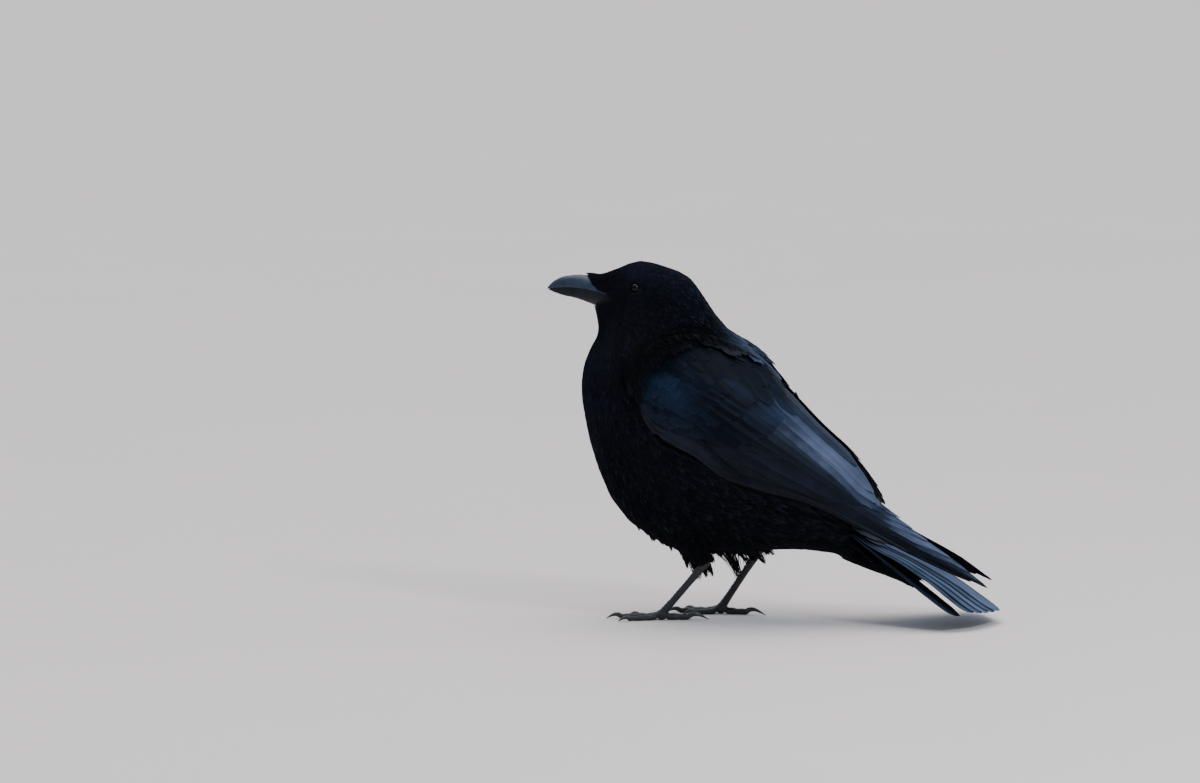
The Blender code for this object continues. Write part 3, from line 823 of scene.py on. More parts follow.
def down(look, back_look):
    """Loose fine barbs over the whole contour coat, which soften the vanes' edges."""
    allowed = np.maximum(coated(outer.centres), over_wing(outer.centres, 1.5) > 0.35)
    roots = scatter(outer, 0.2 * lie(outer.centres)[1][:, 2] + 0.36, allowed, BARB_TRIES)
    headings, sizes = lie(roots)
    count = len(roots)
    headings = unit(headings + RNG.normal(0, 0.13, (count, 3)))
    lengths = mix(2.5, 0.5 * sizes[:, 0], 0.8) * RNG.uniform(0.7, 1.2, count)
    lengths = room_before_eye(roots, headings, lengths)
    path, ups = march(outer, roots, headings, lengths, 2)
    share = np.linspace(0, 1, 3)
    under = wing_cover(path)
    over = smooth(0.05, 0.45, over_wing(roots, 1.5))[:, None]
    rise = mix(-0.2, 0.2, share**0.7) * sizes[:, 3:4] * RNG.uniform(0.6, 1.2, (count, 1))
    heights = rise - TUCK * under * (1 - over) + 2.3 * over
    path, ups = bridged(path, ups)
    in_the_open = ((under.max(1) < 0.6) | (over[:, 0] > 0.4)) & unfolded(path)
    widths = np.clip(sizes[:, 0] * 0.04, 0.3, 0.75) * RNG.uniform(0.8, 1.2, count)
    band = np.where(on_back(roots), 5, np.digitize(roots[:, 2], (85, 125, 170, 225)))
    for number, name in enumerate(("belly", "flank", "breast", "neck", "head", "back")):
        chosen = in_the_open & (band == number)
        made = blades(path[chosen], ups[chosen], widths[chosen], heights[chosen])
        make("barbs_" + name, [made], back_look if name == "back" else look, "plumage")


# Where the belly's loose plumes hang, as the clump's root and its length.
WISPS = (
    ((-76, -12, 60), 30),
    ((-70, -4, 58), 24),
    ((-45, 4, 57), 29),
    ((-38, 12, 58), 20),
    ((-24, -4, 57), 13),
    ((-58, 14, 60), 16),
    ((-92, 6, 67), 13),
    ((-60, -18, 62), 14),
    ((-104, -6, 74), 9),
)


def plumes(look):
    """Loose plumes of the belly and the thighs, gathered to points in small clumps."""
    clumps = [(np.array(place, float), length) for place, length in WISPS]
    near_legs = outer.centres[
        grown_on(outer.centres)
        & (np.abs(outer.centres[:, 0] + 62) < 58)
        & (outer.centres[:, 2] < 80)
    ]
    for place in near_legs[RNG.choice(len(near_legs), 150)]:
        clumps.append((place, RNG.uniform(6, 12)))
    paths, ups = zip(*(clump_paths(place, length, 5) for place, length in clumps))
    path = np.concatenate(paths)
    made = blades(path, np.concatenate(ups), np.full(len(path), 0.75), np.zeros(path.shape[:2]))
    make("plumes", [made], look, "plumage")


def clump_paths(place, length, rows):
    """Bowed paths from round a place on the body to one loose point, and their up directions."""
    count = int(9 + 1.6 * length)
    share = np.linspace(0, 1, rows + 1)[:, None]
    roots, ups = outer.nearest(place + RNG.normal(0, 0.12 * length + 1.2, (count, 3)))
    heading = lie(place[None])[0][0]
    fall = unit(mix(heading, np.array((0.12, 0, -1.0)), 0.15 + 0.02 * length))
    tip = outer.nearest(place)[0] + fall * length + heading * 0.1 * length
    ends = tip + RNG.normal(0, 0.06 * length, (count, 3))
    bulge = ups * length * 0.05
    path = mix(roots[:, None] - 1.5 * ups[:, None], ends[:, None], share)
    path = path + bulge[:, None] * 4 * share * (1 - share)
    path = path + (heading * length * 0.14) * 4 * share * (1 - share)
    return path, np.repeat(ups[:, None], rows + 1, axis=1)


def room_before_eye(roots, headings, lengths):
    """Lengths cut short where a feather would reach over the eye."""
    reach = lengths.copy()
    for share in np.linspace(0.2, 1, 9)[::-1]:
        tips = roots + headings * (lengths * share)[:, None]
        reach = np.where(at_eye(tips, 5.1), np.maximum(lengths * (share - 0.1), 1.2), reach)
    return reach


def off_eye(points):
    """How far points lie from the eye's axis on their own side."""
    away = points * flips(points) - EYE
    return np.linalg.norm(away - dot(away, EYE_AXIS) * EYE_AXIS, axis=-1)


def at_eye(points, radius):
    """True for the points on the side of the face that are within a radius of the eye's axis."""
    return (off_eye(points) < radius) & (np.abs(points[:, 1]) > 8) & (points[:, 0] < -95)


def clear_of_face(points):
    """0 over the bill and the eyes, where no contour feathers are rooted, and 1 elsewhere."""
    x, z = points[:, 0], points[:, 2]
    near_bill = (z > HORN_EDGE[0][0]) & (x < at(HORN_EDGE, z) + 0.6)
    return (~near_bill & ~at_eye(points, 5.2)).astype(float)


# ---------------------------------------------------------------- eyes


def eye_point(off_axis, turn, radius):
    """A point round the right eye: an angle off its axis, a turn round it, and a radius."""
    off_axis, turn, radius = np.broadcast_arrays(off_axis, turn, radius)
    aside = EYE_FORWARD * np.cos(turn)[..., None] + EYE_UP * np.sin(turn)[..., None]
    direction = EYE_AXIS * np.cos(off_axis)[..., None] + aside * np.sin(off_axis)[..., None]
    return EYE + direction * radius[..., None]


def eyelids():
    """A soft ring of lid round the right eye, creased and a little longer than it is high."""
    rings = 72
    turns = np.linspace(0, math.tau, rings, endpoint=False)[:, None]
    opening = np.radians(66 - 8 * np.abs(np.sin(turns)) + 3 * np.cos(turns))
    steps = np.radians(np.array((0, 1.5, 6, 12, 19, 28, 38, 30, 12, 2)))[None]
    lifts = np.array((-0.15, 0.3, 0.62, 0.75, 0.55, 0.1, -1.2, -1.8, -1.4, -0.9))[None]
    crease = 0.06 * np.sin(turns * 23) * (lifts > 0)
    ring = eye_point(opening + steps, turns, EYE_RADIUS + lifts + crease)
    sides = lifts.size
    return shape(ring, torus_faces(rings, sides), shade=np.full((rings, sides), 0.9))


def torus_faces(rings, sides):
    """Rings of equally many points, closed by joining the last ring to the first."""
    grid = np.arange(rings * sides).reshape(rings, sides)
    ahead = np.roll(grid, -1, axis=0)
    quads = [grid, np.roll(grid, -1, axis=1), np.roll(ahead, -1, axis=1), ahead]
    return [np.stack(quads, -1).reshape(-1, 4)]


def eyeball():
    """The right eyeball: a sphere with the cornea's bulge. shade runs out from its axis."""
    rows, sides = 40, 48
    off_axis = np.linspace(0.02, math.pi - 0.02, rows)[:, None]
    turns = np.linspace(0, math.tau, sides, endpoint=False)[None]
    radius = EYE_RADIUS - 0.1 + 0.35 * (1 - smooth(0.1, 0.85, off_axis))
    ball = eye_point(off_axis, -turns, radius)
    tone = np.broadcast_to(off_axis / math.pi, (rows, sides))
    return shape(ball, tube_faces(rows, sides), shade=tone)


# ---------------------------------------------------------------- bill


def flared(points, axis_heights):
    """Rings of points round the bill widened, towards its base, to lie just over the face."""
    extra = np.zeros(points.shape[:2])
    centres = np.stack([points[:, 0, 0], 0 * axis_heights, axis_heights], 1)
    reach = np.linalg.norm(points - centres[:, None], axis=-1)
    rays = (points - centres[:, None]) / reach[..., None]
    for row, centre in enumerate(centres):
        probe = np.array((max(centre[0], -145.0), 0.0, centre[2]))
        for k, ray in enumerate(rays[row]):
            hit = skin_surface.tree.ray_cast(Vector(probe + ray * 30), Vector(-ray), 30)[0]
            if hit is not None:
                extra[row, k] = np.linalg.norm(np.array(hit) - probe) + 0.3 - reach[row, k]
    extra = np.clip(extra, 0, 2.6) * smooth(-0.95, -0.5, rays[..., 2])
    extra = extra * smooth(-166, -145, points[..., 0])
    for _ in range(12):
        wide = np.pad(extra, 1, mode="edge")
        extra = (2 * extra + wide[:-2, 1:-1] + wide[2:, 1:-1] + wide[1:-1, :-2] + wide[1:-1, 2:]) / 6
    return points + rays * extra[..., None]


def mandible(upper):
    """One half of the bill: a rounded ridge over a bevelled cutting edge, worn a little uneven."""
    rows, sides = 72, 40
    place = (len(BILL) - 1) * np.linspace(1, 0, rows) ** 1.15
    x, ridge, edge, keel, half_width = (along(BILL, place)[:, k] for k in range(5))
    far = ridge - edge if upper else edge - keel
    sign = 1 if upper else -1
    wide = half_width * (1.0 if upper else 0.9)
    turn = np.linspace(0, math.pi, sides)[None]
    round_off = np.abs(np.sin(turn)) ** 0.88
    side = np.sign(np.cos(turn)) * np.abs(np.cos(turn)) ** 0.92
    wave = 0.07 * np.sin(x / 2.3)[:, None] * np.sin(turn * 3) + 0.05 * np.sin(x / 0.9)[:, None]
    y = (wide[:, None] + wave * 0.5) * side
    z = edge[:, None] + sign * (0.12 + far[:, None] * round_off + wave * round_off)
    horn = flared(np.stack([np.broadcast_to(x[:, None], y.shape), y, z], -1), edge)
    inner_height = edge + (0.12 + 0.25 * far if upper else 0.2)
    inner = (x[:, None], wide[:, None] * np.linspace(-0.86, 0.86, 9)[None], inner_height[:, None])
    grid = np.concatenate([horn, np.stack(np.broadcast_arrays(*inner), -1)], 1)
    tip = BILL_TIP if upper else BILL_TIP + (1.6, 0, -1.0)
    close = tip + (grid[-1] - grid[-1].mean(0)) * 0.18
    mid = mix(grid[-1], close, 0.6) + (-0.35, 0, 0)
    grid = np.concatenate([grid, mid[None], close[None]])
    way = np.linspace(0, 1, rows + 2)[:, None] * np.ones((1, grid.shape[1]))
    made = shape(grid, tube_faces(rows + 2, grid.shape[1]), shade=way)
    return made if upper else turned(made)


def bristles(look):
    """The stiff bristles that lie forward over the nostrils and the base of the bill."""
    count = 900
    made = []
    for side in SIDES:
        z = mix(271.5, 288.6, RNG.random(count) ** 0.8)
        front = at(BRISTLE_EDGE, z)
        x = mix(front + 3, np.maximum(front + 6, -137), RNG.random(count))
        rows = along(BILL, np.interp(x, [r[0] for r in BILL], range(len(BILL))))
        ridge, edge, wide = rows[:, 1], rows[:, 2], rows[:, 4]
        rise = np.clip((z - edge) / (ridge - edge + 1.2), 0, 1)
        root = np.stack([x, SIDES[side] * (wide + 0.6) * np.sqrt(1 - rise**2), z], 1)
        reach = (x - front) * RNG.uniform(0.8, 1.12, count)
        droop = mix(-0.38, -0.04, smooth(272, 288, z))
        heading = unit(np.stack([-np.ones(count), 0 * x, droop], 1))
        heading = unit(heading + RNG.normal(0, 0.07, (count, 3)))
        path, ups = march(outer, root, heading, np.maximum(reach, 3), 5)
        share = np.linspace(0, 1, 6)
        heights = -0.4 + 0.9 * np.sin(share * 2.5)[None] * RNG.uniform(0.5, 1.1, (count, 1))
        made.append(blades(path, ups, RNG.uniform(0.4, 0.75, count), heights))
    make("bristles", made, look, "plumage", ["nasal_bristles"])


# ---------------------------------------------------------------- wings


def wing_point(u, v):
    """A point on the right folded wing: u counts ribs, v runs from back to lower edge."""
    u = np.clip(u, -0.35, len(WING) - 0.85)
    v = np.clip(v, -0.05, 1.08 + 0.25 * smooth(10, 12, u))
    numbers = along(WING, u)
    upper, lower, bow = numbers[..., :3], numbers[..., 3:6], numbers[..., 6]
    chord = lower - upper
    outward = unit(np.array((0.0, 1, 0)) - chord * (chord[..., 1:2] / dot(chord, chord)))
    rise = bow * 4 * v * (1 - v)
    return upper + chord * np.asarray(v)[..., None] + outward * rise[..., None]


def wing_frame(u, v):
    """The wing's point, its two slopes and its outward normal."""
    point = wing_point(u, v)
    by_u = (wing_point(u + 0.02, v) - wing_point(u - 0.02, v)) / 0.04
    by_v = (wing_point(u, v + 0.01) - wing_point(u, v - 0.01)) / 0.02
    normal = unit(np.cross(by_v, by_u))
    return point, by_u, by_v, normal * np.sign(normal[..., 1:2])


class WingFinder:
    """Finds the wing's own coordinates nearest to places on either side of the bird."""

    def __init__(self):
        u, v = np.meshgrid(np.linspace(-0.2, 10.6, 170), np.linspace(0, 1, 56))
        self.u, self.v = u.ravel(), v.ravel()
        self.tree = kdtree.KDTree(len(self.u))
        for k, place in enumerate(wing_point(self.u, self.v).tolist()):
            self.tree.insert(place, k)
        self.tree.balance()

    def nearest(self, points):
        """The wing coordinates u and v nearest to each point, and how far off it lies."""
        found = [self.tree.find(place)[1:] for place in (points * flips(points)).tolist()]
        index = np.array([f[0] for f in found])
        return self.u[index], self.v[index], np.array([f[1] for f in found])


def wing_grid(spec, rows):
    """The paths of feathers laid on the right wing by the lines of a spec, with their directions.

    Each line of spec holds the root and the tip as wing coordinates, how far down the path bows
    between them, the width, the lift at root and tip, and the tilt of the lower edge outward.
    """
    share = np.linspace(0, 1, rows + 1)
    u0, v0, u1, v1, bow = (spec[:, k : k + 1] for k in range(5))
    u = mix(u0, u1, share)
    v = mix(v0, v1, share) + bow * 4 * share * (1 - share)
    centre, by_u, by_v, normal = wing_frame(u, v)
    forward = unit(np.gradient(centre, axis=1))
    sideways = unit(np.cross(forward, normal))
    a, b, c = dot(by_u, by_u), dot(by_u, by_v), dot(by_v, by_v)
    p, q = dot(sideways, by_u), dot(sideways, by_v)
    bottom = np.maximum(a * c - b * b, 1e-6)
    du, dv = (p * c - q * b) / bottom, (q * a - p * b) / bottom
    return share, u, v, du, dv, forward, normal


def wing_tone_and_painted_light(u, v):
    """How pale the folded wing is painted from place to place, before each feather's tone: a painted
    highlight over the tertials and the primaries' upper tips, painted shade over its lower part, and a
    paler front.
    """
    fore = 0.2 * smooth(0.2, 0.45, v) * (1 - smooth(0.62, 0.8, v)) * (1 - smooth(2.6, 4.0, u))
    # Painted highlight: a pale band over the tertials and the upper secondaries.
    tertial_highlight = 0.72 * np.exp(-(((v - 0.27) / 0.19) ** 2))
    tertial_highlight = tertial_highlight * smooth(4.6, 7.6, u) * (1 - smooth(9.5, 10.1, u))
    # Painted shade: darker over the lower part of the wing behind the bend.
    shade = 0.17 * smooth(0.42, 0.55, v) * smooth(3.5, 5, u)
    lower = 0.16 * np.exp(-(((v - 0.66) / 0.1) ** 2))
    lower = lower * smooth(5.0, 6.5, u) * (1 - smooth(8.6, 9.6, u))
    # Painted highlight on the upper tips of the folded primaries.
    points = 0.8 * (1 - smooth(0.3, 0.62, v)) * smooth(9.8, 10.6, u)
    return 0.06 + fore + tertial_highlight + lower + points - shade


def wing_vanes(spec, rows, columns, outline, quill, fray, ridge, strips=False, tone=0.0):
    """Closed vanes with a raised quill, laid on the right wing by the lines of a spec."""
    share, u, v, du, dv, forward, normal = wing_grid(spec, rows)
    width, lift0, lift1, tilt = (spec[:, k : k + 1] for k in range(5, 9))
    count = len(u)
    across = quilled(quill, 0.09, columns // 2)
    half = (profile(outline, share)[None] * width / 2)[..., None]
    ragged = RNG.normal(0, 1, (count, rows + 1, len(across)))
    chord = np.linalg.norm(wing_point(u, 1.0 + 0 * u) - wing_point(u, 0 * u), axis=-1)
    room_above = np.maximum(chord * (v + 0.02), 1.5)[..., None]
    room_below = np.maximum(chord * (1.04 - v), 1.5)[..., None]
    offset = np.minimum(half, np.where(across > 0, room_above, room_below)) * across
    offset = offset + (half * across * (1 + 0.3 * fray * ragged) - half * across)
    points = wing_point(u[..., None] + du * offset, v[..., None] + dv * offset)
    middle = columns // 2
    pull = -(across**2) * 0.05 * smooth(0.7, 1, share)[None, :, None] * (1 - quill**2)
    pull = pull + 0.5 * fray * ragged * 0.12 * smooth(0.6, 1, share)[None, :, None]
    pull = pull * lengths_of(points[:, :, middle])[:, None, None]
    quill_ridge = ridge * (across == quill) * (1 - 0.6 * share[None, :, None])
    dome = 0.05 * width[..., None] * (1 - across**2) + 0.06
    lift = mix(lift0, lift1, share)[..., None] - tilt[..., None] * across + dome + quill_ridge
    lift = lift - SINK * shoulder(u, v, 1.6)[..., None]
    grid = points + forward[:, :, None] * pull[..., None]
    grid = grid + normal[:, :, None] * lift[..., None]
    # Painted highlight and shade by place on the wing, plus each row's and each feather's own tone.
    shade = wing_tone_and_painted_light(u, v)[..., None] + tone + RNG.uniform(-0.1, 0.1, (count, 1, 1))
    roots = None if strips else points[:, 0, middle]
    return plates(grid, across, share, shade, roots, lanes=count)


def quilled(quill, gap, half_columns):
    """Places across a vane from -1 to 1, with half_columns on each side of its quill."""
    lower = np.linspace(-1, quill - gap, half_columns)
    return np.concatenate([lower, [quill], np.linspace(quill + gap, 1, half_columns)])


SINK = 1.8  # how far the wing's feathers sink where the neck's lie over them
# The wing coordinate that no point of the folded hand stands above.
HIGHEST_POINT = {"left": 0.0, "right": 0.6}

FLIGHT_TIP = (0.5, 0.75, 0.95, 1, 1, 1, 1, 0.98, 0.94, 0.84, 0.5)
PRIMARY_TIP = (0.5, 0.8, 1, 1, 1, 1, 0.95, 0.86, 0.74, 0.58, 0.22)
COVERT_TIP = (0.4, 0.75, 0.95, 1, 1, 0.98, 0.88, 0.5)


def spread(count, roots, tips, bow, width, lifts, tilt):
    """The lines of a spec. Each value is a number, or several spread evenly over the lines."""
    made = []
    for column in (*roots, *tips, bow, width, *lifts, tilt):
        values = np.atleast_1d(np.array(column, float))
        places = np.linspace(0, len(values) - 1, count)
        made.append(np.interp(places, np.arange(len(values)), values))
    return np.stack(made, 1)


def jittered(spec, u, v, width):
    """A spec with its feathers moved along and across the wing and resized, each at random."""
    spec = spec.copy()
    count = len(spec)
    spec[:, (0, 2)] += RNG.normal(0, u, (count, 1))
    spec[:, (1, 3)] += RNG.normal(0, v, (count, 1))
    spec[:, 5] *= 1 + RNG.normal(0, width, count)
    return spec


def primaries(highest):
    """The hand's long feathers, with no point above the wing coordinate highest."""
    tips_u = (10.5, 10.9, 11.4, 12.2, 12.9, 13.5, 13.95, 14.0, 13.3, 11.2)
    tips_v = np.maximum((0.10, 0.14, 0.18, 0.24, 0.3, 0.4, 0.5, 0.62, 0.98, 0.98), highest)
    bows = (0.12, 0.12, 0.12, 0.12, 0.11, 0.1, 0.08, 0.06, 0.03, 0.0)
    lifts = ((-2.6, -3.4), (0.4, -1.1))
    spec = spread(10, (3.4, (0.86, 0.92)), (tips_u, tips_v), bows, 15, lifts, 0.55)
    return [wing_vanes(spec[::-1], 30, 8, PRIMARY_TIP, -0.35, 0.04, 0.4, True)]


def secondaries():
    """The arm's long feathers, mostly under the tertials and the coverts."""
    tips_u = (8.15, 8.4, 8.65, 8.85, 9.1, 9.4, 9.6)
    tips_v = (0.84, 0.75, 0.67, 0.60, 0.53, 0.47, 0.42)
    roots = ((3.3, 4.4), (0.62, 0.30))
    lifts = ((-2.4, -1.5), (-1.3, -0.3))
    spec = spread(7, roots, (tips_u, tips_v), (0.07, 0.03), (17, 18), lifts, 0.8)
    return [wing_vanes(spec, 22, 8, FLIGHT_TIP, -0.3, 0.05, 0.35, True)]


def tertials():
    """The broad pale feathers on top of the folded wing."""
    roots = ((4.6, 4.3), (0.34, 0.10))
    tips = ((9.75, 9.5, 9.1, 8.3), (0.40, 0.30, 0.20, 0.10))
    spec = spread(4, roots, tips, (0.0, -0.02), (21, 18), ((-1.2, -0.4), (0.0, 0.9)), 0.9)
    return [wing_vanes(spec, 22, 8, FLIGHT_TIP, -0.2, 0.05, 0.4, True)]


def primary_coverts():
    """The hand's coverts and the alula's three feathers."""
    tips = ((5.71, 5.3, 4.9, 4.5, 4.2, 3.9, 3.6), (0.99, 0.96, 0.94, 0.92, 0.9, 0.88, 0.85))
    lifts = ((-1.6, -0.9), (-0.8, -0.2))
    coverts = spread(7, ((1.3, 1.9), (0.88, 0.72)), tips, 0.02, (10, 11), lifts, 0.35)
    roots, tips = ((0.3, 0.5), (0.84, 0.72)), ((2.3, 3.1), (0.93, 0.82))
    alula = spread(3, roots, tips, 0.02, (10, 12), ((-0.6, 0.1), 0.3), 0.3)
    return [wing_vanes(spec, 16, 6, FLIGHT_TIP, -0.3, 0.05, 0.3) for spec in (coverts, alula)]


def greater_coverts():
    """Three rows of coverts, the long lowest row under the two above it."""
    tips_u = np.array((3.56, 4.18, 4.79, 5.25, 5.63, 5.85, 6.0, 6.1, 6.15))
    tips_v = np.array((0.825, 0.825, 0.78, 0.72, 0.655, 0.57, 0.49, 0.41, 0.33))
    specs = []
    for count, back, up, width, low in (
        (9, 0, 0, 17, -0.5),
        (11, 0.85, 0.03, 15, 0.0),
        (11, 1.5, 0.06, 13, 0.3),
    ):
        roots = (tips_u - back - 1.5, tips_v - up - 0.07)
        tips = (tips_u - back, tips_v - up)
        lifts = (low - 0.6, low + 0.45)
        spec = spread(count, roots, tips, 0.01, (width, width + 3), lifts, 0.4)
        specs.append(jittered(spec, 0.03, 0.004, 0.05))
    return [wing_vanes(spec, 12, 6, COVERT_TIP, -0.15, 0.06, 0.25) for spec in reversed(specs)]


def lesser_coverts():
    """Small rounded feathers over the bend and the front of the wing."""
    tries = 9000
    u, v = RNG.uniform(-0.12, 4.4, tries), RNG.uniform(0.0, 0.86, tries)
    inside = u < np.interp(v, (0, 0.3, 0.6, 0.8, 0.86), (4.2, 3.9, 3.4, 2.4, 1.6))
    u, v = u[inside], v[inside]
    keep = spread_out(wing_point(u, v), np.full(len(u), 5.0))
    u, v = u[keep], v[keep]
    none = np.zeros(len(u))
    small = 1 - smooth(0, 1.2, u)
    tips = (u + mix(0.62, 0.42, small), v + mix(0.035, 0.09, small))
    spec = (u, v, *tips, none, mix(12, 8.5, small), none - 0.5, none + 0.5, none + 0.2)
    spec = jittered(np.stack(spec, 1), 0.02, 0.01, 0.08)
    return [wing_vanes(spec, 7, 4, ROUND_TIP, 0.0, 0.12, 0.08)]


def scapulars():
    """The long feathers from the shoulder that lie over the folded wing's upper edge."""
    tips_u = np.array((1.75, 2.25, 2.8, 3.4, 4.0, 4.6, 5.2, 5.75, 6.3))
    tips_v = np.array((0.25, 0.32, 0.38, 0.41, 0.415, 0.405, 0.36, 0.28, 0.19))
    made = []
    for row in range(5):
        back, v = 0.42 * row, np.maximum(tips_v - 0.095 * row, 0.03)
        roots = (tips_u - back - 1.35, np.maximum(v - 0.2, -0.04))
        lifts = (0.1 + 0.2 * row, mix(1.1, 1.7, row / 4))
        widths = (11, 15, 18, 19, 19)
        spec = spread(9 - (row > 2), roots, (tips_u - back, v), 0.01, widths, lifts, 0.35)
        spec = jittered(spec[spec[:, 2] > 0.5], 0.06, 0.008, 0.08)
        made.append(wing_vanes(spec, 12, 6, COVERT_TIP, -0.1, 0.08, 0.15, tone=-0.12 - 0.05 * row))
    return made


# ---------------------------------------------------------------- tail


def tail_point(length, across, height):
    """A point in the tail's own frame: along it, out from the middle, and up off its face."""
    height = height - across**2 / (2 * TAIL_CURVE_RADIUS)
    back, up = math.cos(TAIL_PITCH), math.sin(TAIL_PITCH)
    x = TAIL_ROOT[0] + length * back + height * up
    z = TAIL_ROOT[2] - length * up + height * back
    return np.stack(np.broadcast_arrays(x, across, z), -1)


def rectrix(side, number):
    """One tail feather with its quill, slightly domed and frayed along its edges."""
    rows, columns = 34, 8
    turn = TAIL_FAN * number / 5.3 + 0.012
    length, width = TAIL_LENGTHS[number], TAIL_WIDTHS[number]
    share = np.linspace(TAIL_STARTS / length, 1, rows + 1)[:, None]
    quill = -0.12 - 0.09 * number
    across = quilled(quill, 0.07, columns // 2)
    taper = smooth(0.02, 0.5, share) * np.sqrt(np.maximum(0.02, 1 - share**16))
    half = width / 2 * mix(0.4, 1.0, taper)
    ragged = RNG.normal(0, 1, (rows + 1, columns + 1))
    offset = -half * across * (1 + 0.012 * ragged)
    back = length * share * math.cos(turn) - offset * math.sin(turn)
    back = back - 2.2 * across**2 * smooth(0.9, 1, share) + 0.35 * ragged * smooth(0.93, 1, share)
    out = 0.9 * (number + 0.6) + length * share * math.sin(turn) + offset * math.cos(turn)
    hanging = (side, number) == HANGING
    level = 3.2 - TAIL_LAYERS[side][number] * LAYER * CLOSER
    level = level - 5.5 * hanging * smooth(0.3, 1, share)
    level = level + 3.2 * smooth(0.35, 0.6, share) * (1 - smooth(0.72, 1, share)) * (not hanging)
    dome = 0.45 * (1 - across**2) * smooth(0.2, 0.5, share) + 0.05
    ridge = 0.35 * (across == quill) * (1 - 0.5 * share)
    grid = tail_point(back, out, level + dome + ridge)
    # The hanging feather is painted dark: painted shade, for it hangs in shadow below the others.
    tone = 0.08 if hanging else RNG.uniform(0.4, 0.85)
    return plates(grid[None], across, share[:, 0], tone, lane=number, lanes=len(TAIL_LENGTHS))


def tail_coverts(above):
    """Overlapping feathers that hide the tail's root on its upper or its lower face."""
    rows, columns = 10, 6
    share = np.linspace(0, 1, rows + 1)[:, None]
    across = np.linspace(-1, 1, columns + 1)
    dome = 0.4 * (1 - across**2)
    made = []
    for tier, reach in enumerate((94, 80, 66, 53, 41)):
        for number in range(6):
            turn = TAIL_FAN * (number - 0.4 + 0.5 * (tier % 2)) / 5.5
            length = reach - 2.5 * number + RNG.normal(0, 1.5)
            half = profile(SOFT_TIP, share) * (10.5 - tier)
            ragged = RNG.normal(0, 1, (rows + 1, columns + 1))
            offset = half * across * (1 + 0.05 * ragged)
            run = mix(reach - 44.0, length, share) - 3 * across**2 * smooth(0.6, 1, share)
            run = run + 0.5 * ragged * smooth(0.6, 1, share)
            back = run * math.cos(turn) - offset * math.sin(turn)
            out = run * math.sin(turn) + offset * math.cos(turn)
            if above:
                height = mix(2.6, 4.0, share**0.6) + 0.7 * tier + dome - 0.22 * number
            else:
                height = -(mix(4.0, 4.8, share**0.6) + 1.3 * tier + dome + 0.9 * number)
            grid = tail_point(back, out, height)[None]
            tone = RNG.uniform(0.35, 0.6)
            plate = plates(grid, across, share[:, 0], tone, grid[:, 0, columns // 2])
            made.append(plate if above else turned(plate))
    return made


# ---------------------------------------------------------------- legs


def limb(path, radii, sides, floor, ridges=0.0, pitch=3.0, pads=0.0):
    """A round limb along a path, with overlapping plates on its front and pads below."""
    path = np.asarray(path, float)
    forward = unit(np.gradient(path, axis=0))
    sideways = unit(np.cross(forward, (0.0, 0, 1)))
    up = np.cross(sideways, forward)
    run = np.concatenate([[0], np.cumsum(np.linalg.norm(np.diff(path, axis=0), axis=1))])
    turn = (np.arange(sides) + 0.5) / sides * math.tau
    above = smooth(-0.2, 0.5, np.sin(turn))[None]
    step = (run / pitch % 1.0)[:, None]
    radius = np.asarray(radii, float)[:, None] + ridges * (step - 0.5) * above
    radius = radius + pads * (1 - above) * np.sin(run / pitch / 2.3 * math.tau)[:, None]
    offset = sideways[:, None] * (np.cos(turn) * radius)[..., None]
    offset = offset + up[:, None] * (np.sin(turn) * radius)[..., None]
    points = path[:, None] + offset
    points[..., 2] = np.maximum(points[..., 2], floor)
    return shape(points, tube_faces(len(path), sides))


def toe_path(side, name):
    """The ball of the foot, the toe's heading, and its length, radius and claw."""
    heading, length, radius, claw = TOES[name]
    ball = np.array(LEGS[side][2], float)
    turn = math.radians(heading)
    ahead = np.array((-math.cos(turn), SIDES[side] * math.sin(turn), 0))
    return ball, ahead, length, radius, claw


def foot_parts(side):
    """The bare leg's overlapping solids: tarsus, ball of the foot and toes."""
    ankle, ball = (np.array(LEGS[side][k], float) for k in (1, 2))
    share = np.linspace(-0.12, 1.0, 110)
    places = (-0.12, 0, 0.12, 0.35, 0.75, 0.92, 1)
    radii = np.interp(share, places, (2.5, 4.2, 3.5, 3.0, 3.0, 3.5, 3.9))
    yield limb(ankle + (ball - ankle) * share[:, None], radii, 28, 0.0, 0.42, 3.7)
    hub = np.linspace(-1, 1, 24)
    around = np.sqrt(np.maximum(1 - hub**2, 0.01))
    yield limb(ball + np.outer(hub, (-5.0, 0, 0)) - (0, 0, 0.4), 4.4 * around, 24, 0.0)
    share = np.linspace(0, 1, 90)
    for name in TOES:
        ball, ahead, length, radius, _ = toe_path(side, name)
        path = ball + ahead * (length * share + 0.5)[:, None]
        path[:, 2] = mix(ball[2], radius * 0.86, smooth(0, 0.35, share))
        knuckle = 1 + 0.09 * np.cos(share * (length / 9.5) * math.tau)
        radii = radius * mix(1.12, 0.8, share) * knuckle * np.sqrt(1 - 0.55 * smooth(0.95, 1, share))
        yield limb(path, radii, 22, 0.0, 0.34, 2.3, 0.12)


def claw(side, name):
    """One claw: arched, tapering and drawn down to a point on the floor."""
    ball, ahead, length, radius, reach = toe_path(side, name)
    share = np.linspace(0, 1, 26)
    start = radius * 0.95
    rise = start * (1 - share) ** 0.9 + reach * 0.2 * np.sin(math.pi * share**0.8) * (1 - 0.3 * share)
    path = ball + ahead * (length - 0.8 + (reach + 0.8) * share)[:, None]
    path[:, 2] = np.maximum(rise, 0.3)
    radii = radius * 0.78 * (1 - share**1.25) + 0.12
    return limb(path, radii, 14, 0.02)


